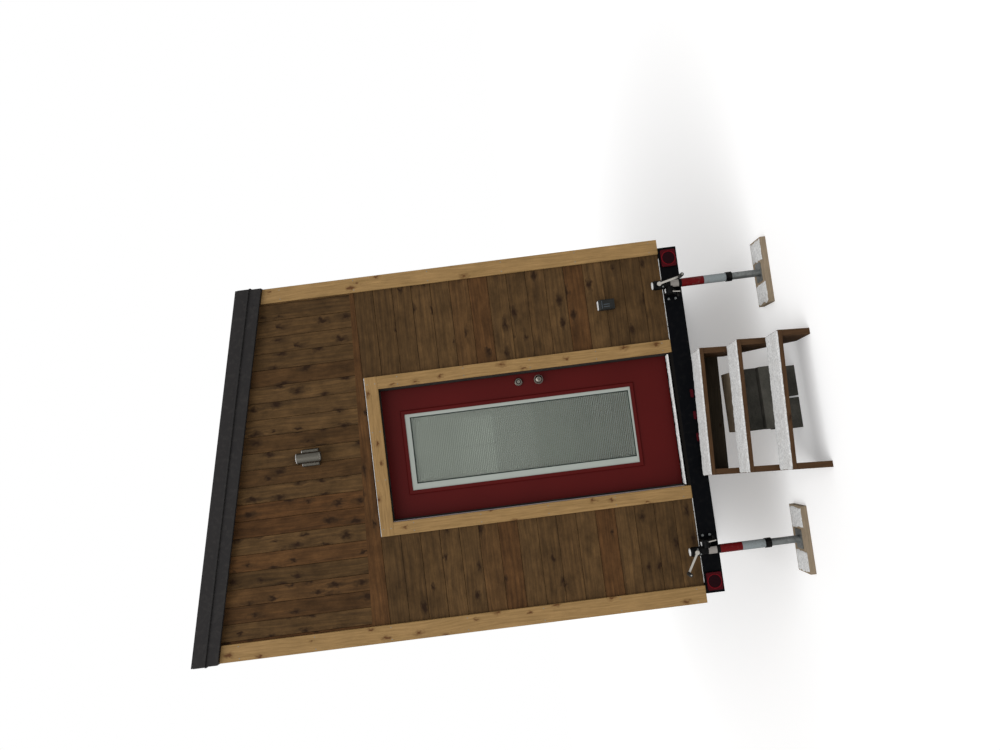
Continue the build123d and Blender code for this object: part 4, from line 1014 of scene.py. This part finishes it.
for middle, centre, out in wheels:
    rings = []
    for number in range(AROUND):
        notched = number % 4 == 0
        notch = 6 if notched else 0
        turn = 2 * math.pi * (number + (0.5 if notched else 0)) / AROUND
        section = [(w, TYRE_RADIUS - d * MM - (notch * MM if w > 43 and d < 7 else 0)) for w, d in TREAD]
        section += [(w, TYRE_RADIUS - d * MM) for w, d in SIDEWALL]
        section += [(70, BEAD_RADIUS), (0, BEAD_RADIUS + 4 * MM)]
        section += [(-w, r) for w, r in reversed(section[1:-1])]
        rings.append([(middle + w * MM, centre[0] + r * math.cos(turn), centre[1] + r * math.sin(turn))
                      for w, r in section])
    tyres.rings(rings, closed=True)
    barrels.turned("x", centre, middle, RIM_LIP, 64, closed=True)
    hub_face = middle + out * HUB_FACE * MM
    for number in range(5):
        turn = 2 * math.pi * number / 5 + NUT_START
        spot = (centre[0] + NUT_CIRCLE * math.cos(turn), centre[1] + NUT_CIRCLE * math.sin(turn))
        nuts.turned("x", spot, hub_face, [(0, 10.5), (out * 14, 10.5), (out * 17, 7)], 6)
    caps.turned("x", centre, hub_face, [(out * w, r) for w, r in HUB_CAP], 32)
tyres.finish("house", tyre_rubber, "tyre", ("tyres",))
nuts.finish("house", bright_zinc, "galvanised")
caps.finish("house", bright_zinc, "galvanised")

# Wheel discs: dished, with a ring of hand holes near the rim
HOLES = 8
HOLE_STEPS = 3
STEPS = 64
DISC_SHEET = 6
DISH = [(75.5, 30), (95, 30), (112, 22), (125, 18), (150, 20), (165, 30), (178.5, 34)]
DISH_STEPS = len(DISH)
HOLE_LEVEL = 3
LAYER = STEPS * DISH_STEPS


def open_cell(number, level):
    """Whether a cell of the disc lies in a hand hole."""
    return level == HOLE_LEVEL and number % (STEPS // HOLES) < HOLE_STEPS


discs = Stock("wheel_discs")
for middle, centre, out in wheels:
    points, faces = [], []
    for deep in (0, DISC_SHEET):
        for number in range(STEPS):
            turn = 2 * math.pi * number / STEPS
            for radius, dish in DISH:
                points.append((middle + out * (dish - deep) * MM, centre[0] + radius * MM * math.cos(turn),
                               centre[1] + radius * MM * math.sin(turn)))
    for number in range(STEPS):
        here, after = number * DISH_STEPS, (number + 1) % STEPS * DISH_STEPS
        for level in range(DISH_STEPS - 1):
            if open_cell(number, level):
                continue
            quad = [here + level, after + level, after + level + 1, here + level + 1]
            faces.append(quad)
            faces.append([LAYER + i for i in reversed(quad)])
            walls = [(0, 1, level == 0 or open_cell(number, level - 1)),
                     (2, 3, level == DISH_STEPS - 2 or open_cell(number, level + 1)),
                     (1, 2, open_cell((number + 1) % STEPS, level)),
                     (3, 0, open_cell((number - 1) % STEPS, level))]
            for i, j, bare in walls:
                if bare:
                    faces.append([quad[j], quad[i], LAYER + quad[i], LAYER + quad[j]])
    discs.solid(points, faces)
discs.finish("house", wheel_silver, "wheel_steel", ("wheel_rims",))
barrels.finish("house", wheel_silver, "wheel_steel")

VALVE = 120 * MM
stock = Stock("valve_stems")
for middle, centre, out in wheels:
    y, z = centre[0] + VALVE, centre[1] + VALVE
    stock.bar((middle + out * 30 * MM, y, z), (middle + out * 62 * MM, y - 8 * MM, z - 8 * MM), 4.5)
stock.finish("house", grip_black)

low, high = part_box("coupler")
latch = (0.0, high[1] - 150 * MM, high[2])
stock = Stock("coupler_latch")
stock.box(moved(latch, -16, -60), moved(latch, 16, 50, 9), 3)
stock.box(moved(latch, -9, -118, 7), moved(latch, 9, -20, 16), 3)
stock.bar(moved(latch, -38, 30, 5), moved(latch, 38, 30, 5), 5)
stock.finish("house", zinc, "galvanised")
stock = Stock("coupler_bolts")
for y in (low[1] + 50 * MM, low[1] + 120 * MM):
    for side in (-1, 1):
        stock.turned("x", (y, (low[2] + high[2]) / 2), 0.0, [(side * 38, 12), (side * 50, 12)], 6)
stock.finish("house", zinc, "galvanised")

low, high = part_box("tongue_jack")
head = (0.0, (low[1] + high[1]) / 2, high[2])
stock = Stock("tongue_jack_handle")
stock.turned("z", head[:2], head[2], [(-60, 34), (-8, 34), (-1, 26)], 28)
stock.bar(moved(head, 30, 0, -32), moved(head, 64, 0, -32), 8, 14)
stock.bar(moved(head, 60, 0, -32), moved(head, 60, -118, -90), 6)
stock.finish("house", zinc, "galvanised")
stock = Stock("tongue_jack_grip")
stock.bar(moved(head, 54, -118, -90), moved(head, 140, -118, -90), 13, 18)
stock.finish("house", grip_black)
PLATE_TOP, BOLT_ACROSS, BOLT_ALONG = 706 * MM, 120 * MM, 36 * MM
stock = Stock("plate_bolts")
for x in (-BOLT_ACROSS, BOLT_ACROSS):
    for y in (head[1] - BOLT_ALONG, head[1] + BOLT_ALONG):
        stock.turned("z", (x, y), PLATE_TOP, [(0, 10), (9, 10)], 6)
stock.finish("house", zinc, "galvanised")


# Jacks: bands of reflective tape, bare labels, pins and bolts, and the cranks' hub nuts. The heights of
# the bands' edges are in millimetres over the floor

TUBE = 28.5
TAPE_IN, TAPE_OUT = TUBE - 0.3, TUBE + 0.6
LABEL_FOOT, LABEL_HEAD, LABEL_SHEET = 603 * MM, 660 * MM, 0.8
PIN_SIDE, PIN_FRONT = 58 * MM, 36 * MM
PIN_HEAD, PIN_FOOT, PIN_HOLE = 655 * MM, 604 * MM, 650 * MM
SWIVEL_BOLTS = ((-17 * MM, 716 * MM), (17 * MM, 734 * MM))
BRACKET_BOLTS, BRACKET_SIDE = (620 * MM, 668 * MM), 92.5 * MM
RIMS = ((699, 705, 31, 33.5), (761, 767, 31, 33.5), (590, 598, 28, 31))
BANDS = {"left": (579, 430, 273), "right": (582, 428, 275)}
jacks = []
for name, inward in (("left", 1), ("right", -1)):
    low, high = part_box(name + "_jack_leg")
    jacks.append((name, inward, (low[0] + high[0]) / 2, (low[1] + high[1]) / 2))

reds, silvers, labels = Stock("jack_red_bands"), Stock("jack_silver_bands"), Stock("jack_labels")
pins, bolts, rims = Stock("jack_lock_pins"), Stock("jack_bolts"), Stock("jack_head_rims")
for name, inward, x, y in jacks:
    head, middle, foot = BANDS[name]
    reds.sleeve((x, y), middle, head, TAPE_IN, TAPE_OUT, 48)
    silvers.sleeve((x, y), foot, middle, TAPE_IN, TAPE_OUT, 48)
    # A label bent round the front third of the tube
    rings = []
    for radius, z in ((TUBE, LABEL_FOOT), (TUBE, LABEL_HEAD), (TUBE + LABEL_SHEET, LABEL_HEAD),
                      (TUBE + LABEL_SHEET, LABEL_FOOT)):
        turns = [math.radians(t) for t in range(-148, -31, 9)]
        rings.append([(x + radius * MM * math.cos(t), y + radius * MM * math.sin(t), z) for t in turns])
    count = len(rings[0])
    faces = [[a * count + i, a * count + i + 1, (a + 1) % 4 * count + i + 1, (a + 1) % 4 * count + i]
             for a in range(4) for i in range(count - 1)]
    faces += [[0, count, 2 * count, 3 * count], [4 * count - 1, 3 * count - 1, 2 * count - 1, count - 1]]
    labels.solid([p for ring in rings for p in ring], faces)
    for low, high, inner, outer in RIMS:
        rims.sleeve((x, y), low, high, inner, outer, 40)
    # Pull pin beside the sleeve with its stub, and the bolts of the swivel and of the bracket
    pin_x, pin_y = x + inward * PIN_SIDE, y - PIN_FRONT
    pins.bar((pin_x, pin_y, PIN_HEAD), (pin_x + inward * 6 * MM, pin_y, PIN_FOOT), 5, 14)
    pins.bar((pin_x, pin_y, PIN_HOLE), (pin_x, y - 20 * MM, PIN_HOLE), 5, 14)
    for shift, z in SWIVEL_BOLTS:
        bolts.turned("y", (x + shift, z), y, [(-26, 6), (-34, 6)], 6)
    for z in BRACKET_BOLTS:
        bolts.turned("y", (x + inward * BRACKET_SIDE, z), BEAM_FACE, [(0, 9), (-8, 9)], 6)
reds.finish("house", band_red)
silvers.finish("house", band_silver)
labels.finish("house", label_white)
pins.finish("house", bright_zinc, "galvanised")
bolts.finish("house", zinc, "galvanised")
rims.finish("house", jack_black, "jack_paint")

HUB_HEIGHT = 745 * MM
for name, _, x, y in jacks:
    arm_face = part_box(name + "_crank_arm")[0][1]
    low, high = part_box(name + "_crank_grip")
    stock = Stock(name + "_crank_nuts")
    stock.turned("y", (x, HUB_HEIGHT), arm_face, [(0, 9), (-6, 9)], 6)
    grip_end = ((low[0] + high[0]) / 2, (low[2] + high[2]) / 2)
    stock.turned("y", grip_end, low[1], [(0, 5.5), (-3, 4.5)], 14)
    stock.finish(name + "_crank", bright_zinc, "galvanised")


# Thin snow on the level faces. Its depth, the reach of its ragged edge and its cells are in millimetres


def level_face(x0, x1, y0, y1, z):
    """Corners of a level face."""
    return [(x0, y0, z), (x1, y0, z), (x1, y1, z), (x0, y1, z)]


def snow_on(stock, corners, depth, ragged=6, cell=11):
    """A thin uneven layer on a four-cornered face. Its edge is drawn in raggedly, by three quarters of a cell
    at most so that no cell folds over, and the layer thins out over the last 12 mm."""
    a, b, c, d = [Vector(corner) for corner in corners]
    along, beside = b - a, d - a
    columns = max(2, round(along.length / (cell * MM)))
    rows = max(2, round(beside.length / (cell * MM)))
    up = along.cross(beside).normalized()
    if up.z < 0:
        up = -up
    top, under = [], []
    for i in range(columns + 1):
        for j in range(rows + 1):
            s, t = i / columns, j / rows
            flat = a.lerp(b, s).lerp(d.lerp(c, s), t)
            inset = min(ragged * (0.55 + noise.noise(flat * 45.0)), 0.75 * cell) * MM
            edge = min(min(s, 1 - s) * along.length, min(t, 1 - t) * beside.length)
            if i in (0, columns):
                flat += along.normalized() * (1 if i == 0 else -1) * inset
            if j in (0, rows):
                flat += beside.normalized() * (1 if j == 0 else -1) * inset * 0.6
            rise = min(1.0, 0.45 + edge / (12 * MM))
            lump = 1.0 + 0.3 * noise.noise(flat * 60.0) + 0.2 * noise.noise(flat * 18.0)
            top.append(flat + up * depth * MM * rise * lump)
            under.append(flat + up * 0.2 * MM)
    total = len(top)
    faces = []

    def spot(i, j):
        return i * (rows + 1) + j

    for i in range(columns):
        for j in range(rows):
            quad = [spot(i, j), spot(i + 1, j), spot(i + 1, j + 1), spot(i, j + 1)]
            faces.append(quad)
            faces.append([total + k for k in reversed(quad)])
    rim = [spot(i, 0) for i in range(columns)] + [spot(columns, j) for j in range(rows)]
    rim += [spot(i, rows) for i in range(columns, 0, -1)] + [spot(0, j) for j in range(rows, 0, -1)]
    for p, q in zip(rim, rim[1:] + rim[:1]):
        faces.append([p, total + p, total + q, q])
    stock.solid(top + under, faces, 0.5)


STEP_LEAN = math.tan(math.radians(3.2))


def top_corners(points):
    """The four corners of a tread's upper face, in order round it."""
    upper = sorted(points, key=lambda p: p.z + p.x * STEP_LEAN)[-4:]
    middle = sum(upper, Vector()) / 4
    return sorted(upper, key=lambda p: math.atan2(p.y - middle.y, p.x - middle.x))


stock = Stock("tread_snow")
for points in separate_solids("step_treads"):
    snow_on(stock, top_corners(points), 9)
stock.finish("house", snow)

# Ledges: the beam on both sides of the door, the head trim, the sill and the socket
LEDGE_START, LEDGE_RUN, LEDGE_STEPS = -1.13, 2.26, 14
DOOR_LEFT, DOOR_RIGHT, SILL_HALF = -0.46, 0.44, 0.455
stock = Stock("ledge_snow")
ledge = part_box("rear_beam")[1][2] - 0.2 * MM
for number in range(LEDGE_STEPS):
    x0 = LEDGE_START + number * LEDGE_RUN / LEDGE_STEPS
    x1 = x0 + LEDGE_RUN / LEDGE_STEPS
    if x1 < DOOR_LEFT or x0 > DOOR_RIGHT:
        snow_on(stock, level_face(x0, x1, REAR - 14 * MM, REAR - 0.5 * MM, ledge), 3, ragged=3, cell=7)
low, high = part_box("door_head_trim")
snow_on(stock, level_face(low[0], high[0], low[1], high[1], high[2]), 4, ragged=2, cell=7)
sill_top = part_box("door_sill")[1][2]
snow_on(stock, level_face(-SILL_HALF, SILL_HALF, REAR - 20 * MM, REAR + 46 * MM, sill_top), 9, ragged=4, cell=9)
low, high = socket_low, socket_high
snow_on(stock, level_face(low[0] + 2 * MM, high[0] - 2 * MM, low[1] + 14 * MM, REAR, high[2]), 6,
        ragged=2, cell=8)
stock.finish("house", snow)

# Boards under the jacks: snow on both sides of the foot, which stays clear of it
FOOT_CLEAR = 72 * MM
stock = Stock("board_snow")
for low, high in boxes_of("jack_pads"):
    middle = (low[0] + high[0]) / 2
    for x0, x1 in ((low[0] + 4 * MM, middle - FOOT_CLEAR), (middle + FOOT_CLEAR, high[0] - 4 * MM)):
        snow_on(stock, level_face(x0, x1, low[1] + 8 * MM, high[1] - 8 * MM, high[2]), 5, ragged=15, cell=18)
stock.finish("house", snow)

# Lamp: a cap on the upper end of its tube, and a strip on its plate
low, high = lamp_low, lamp_high
plate_top = plate_foot + PLATE - 0.2 * MM
stock = Stock("lamp_snow")
stock.turned("z", lamp_axis, high[2], [(-5, 33), (0.5, 35), (3, 36), (6, 32), (8, 18)], 28, tone=0.5)
snow_on(stock, level_face(low[0] + 2 * MM, high[0] - 2 * MM, plate_face + 6 * MM, REAR, plate_top), 6,
        ragged=2, cell=8)
stock.finish("house", snow)

# Jacks: a cap on each head, and a strip on each swivel sleeve
CAP_TOP, SLEEVE_TOP = 777.6 * MM, 697 * MM
stock = Stock("jack_snow")
for name, inward, x, y in jacks:
    stock.turned("z", (x, y), CAP_TOP, [(0, 21), (4, 26), (8, 24), (10, 14)], 20, start=0.2)
    x0, x1 = sorted((x + inward * 31 * MM, x + inward * 60 * MM))
    snow_on(stock, level_face(x0, x1, y - 12 * MM, y + 12 * MM, SLEEVE_TOP), 6, ragged=2, cell=8)
stock.finish("house", snow)


# Materials and eased edges of the solids that show as they are

SHOWN = (
    (floor_ply, "floor_deck"), (window_dark, "window_frames"), (glass, "window_glass"),
    (trim_upright, "end_corner_boards side_corner_boards door_side_trims"), (trim_level, "door_head_trim"),
    (roof_panel, "roof_deck"), (roof_steel, "roof_sheet"), (edge_steel, "end_fascias side_fascias"),
    (jamb_painted_shade, "door_jambs door_head"), (sill_metal, "door_sill"), (door_skin, "door_slab"),
    (lite_pale, "door_lite_frame"), (nickel, "door_hinges lock_plates door_knobs"),
    (chassis_black, "rear_beam frame_rails crossmembers wheel_arches axles tongue coupler"),
    (zinc, "tongue_jack left_jack_leg right_jack_leg"), (lens_frame, "rear_lights"),
    (lamp_steel, "wall_lamp"), (cover_grey, "outlet_box"), (step_level, "step_treads"),
    (step_upright, "step_stringers"), (riser_painted_shade, "step_apron"), (concrete, "pier_blocks"),
    (ground_board, "pier_shim jack_pads"), (jack_black, "jack_brackets jack_bodies"),
    (bright_zinc, "left_crank_arm right_crank_arm"), (grip_black, "left_crank_grip right_crank_grip"),
)
for material, nodes in SHOWN:
    for node in nodes.split():
        mesh = frame["nodes"][node].data
        mesh.materials.clear()
        mesh.materials.append(material)

# Window trim: the boards over and under a window run level, and the boards beside it run upright
TRIM_REACH = 0.15  # how far round a window its trim is looked for, in metres
mesh = frame["nodes"]["window_trims"].data
mesh.materials.clear()
for material in (trim_upright, trim_side, trim_level):
    mesh.materials.append(material)
for face in mesh.polygons:
    middle = sum((mesh.vertices[i].co for i in face.vertices), Vector()) / len(face.vertices)
    for low, high in window_boxes:
        near = all(low[k] - TRIM_REACH < middle[k] < high[k] + TRIM_REACH for k in range(3))
        if near and not low[2] < middle.z < high[2]:
            face.material_index = 2 if middle.y > FRONT - 1 * MM else 1

# How wide the edges of each are eased, in millimetres
EASED = (
    (2.5, "door_side_trims door_head_trim end_corner_boards side_corner_boards window_trims"),
    (2.5, "step_treads step_stringers step_apron jack_pads pier_shim"),
    (5.0, "pier_blocks"),
    (1.5, "rear_beam jack_brackets end_fascias"),
)
for width, nodes in EASED:
    for node in nodes.split():
        ease(node, width * MM)


# Floor, light and camera

WHITE = (1.0, 1.0, 1.0, 1.0)


def stage_floor():
    """A pale floor that shows white to the camera and keeps the object's shadow."""
    reach = 60
    mesh = bpy.data.meshes.new("studio_floor")
    mesh.from_pydata(level_face(-reach, reach, -reach, reach, 0), [], [(0, 1, 2, 3)])
    floor = bpy.data.objects.new("studio_floor", mesh)
    bpy.context.scene.collection.objects.link(floor)
    material, tree, shader, _ = new_material("studio_floor", 0.9, 0.0)
    shader.inputs["Base Color"].default_value = colour("e4e4e4")
    glow = add(tree, "Emission", {"Color": WHITE, "Strength": 0.3})
    seen = add(tree, "AddShader", {0: shader, 1: glow})
    path = add(tree, "LightPath")
    both = add(tree, "MixShader", {0: path.outputs["Is Camera Ray"], 1: shader, 2: seen})
    feed(tree, tree.nodes["Material Output"], {"Surface": both})
    mesh.materials.append(material)


def studio_light():
    """Even white surroundings, and one broad soft light from high over the door end."""
    world = bpy.data.worlds.new("studio")
    bpy.context.scene.world = world
    world.use_nodes = True
    tree = world.node_tree
    plain = tree.nodes["Background"]
    feed(tree, plain, {"Color": WHITE, "Strength": 0.55})
    seen = add(tree, "Background", {"Color": WHITE, "Strength": 1.0})
    path = add(tree, "LightPath")
    direct = add(tree, "Math", {0: path.outputs["Is Glossy Ray"], 1: path.outputs["Is Transmission Ray"]},
                 operation="MAXIMUM")
    direct = add(tree, "Math", {0: path.outputs["Is Camera Ray"], 1: direct}, operation="MAXIMUM")
    both = add(tree, "MixShader", {0: direct, 1: plain, 2: seen})
    feed(tree, tree.nodes["World Output"], {"Surface": both})
    lamp = bpy.data.lights.new("broad_light", "SUN")
    lamp.energy = 1.9
    lamp.angle = math.radians(70)
    holder = bpy.data.objects.new("broad_light", lamp)
    bpy.context.scene.collection.objects.link(holder)
    holder.location = (-3.0, REAR - 6.0, 9.0)
    holder.rotation_euler = Vector((0.35, 1.0, -1.3)).to_track_quat("-Z", "Y").to_euler()


def photo_camera():
    """A camera held on its side in front of the door, a little to the left of its middle. Its angles are in
    radians, and its place is in metres."""
    place = (-0.0204, REAR - 5.9152, 1.8894)
    yaw, pitch, roll = 0.0803, 0.0022, -1.6962
    data = bpy.data.cameras.new("photo_view")
    data.sensor_width = 36.0
    data.lens = 30.6
    holder = bpy.data.objects.new("photo_view", data)
    bpy.context.scene.collection.objects.link(holder)
    forward = Vector((math.sin(yaw) * math.cos(pitch), math.cos(yaw) * math.cos(pitch), math.sin(pitch)))
    level = Vector((math.cos(yaw), -math.sin(yaw), 0))
    upright = level.cross(forward)
    right = level * math.cos(roll) + upright * math.sin(roll)
    up = upright * math.cos(roll) - level * math.sin(roll)
    turn = Matrix((right, up, -forward)).transposed().to_4x4()
    holder.matrix_world = Matrix.Translation(place) @ turn
    bpy.context.scene.camera = holder


stage_floor()
studio_light()
photo_camera()
bpy.context.scene.view_settings.view_transform = "Standard"
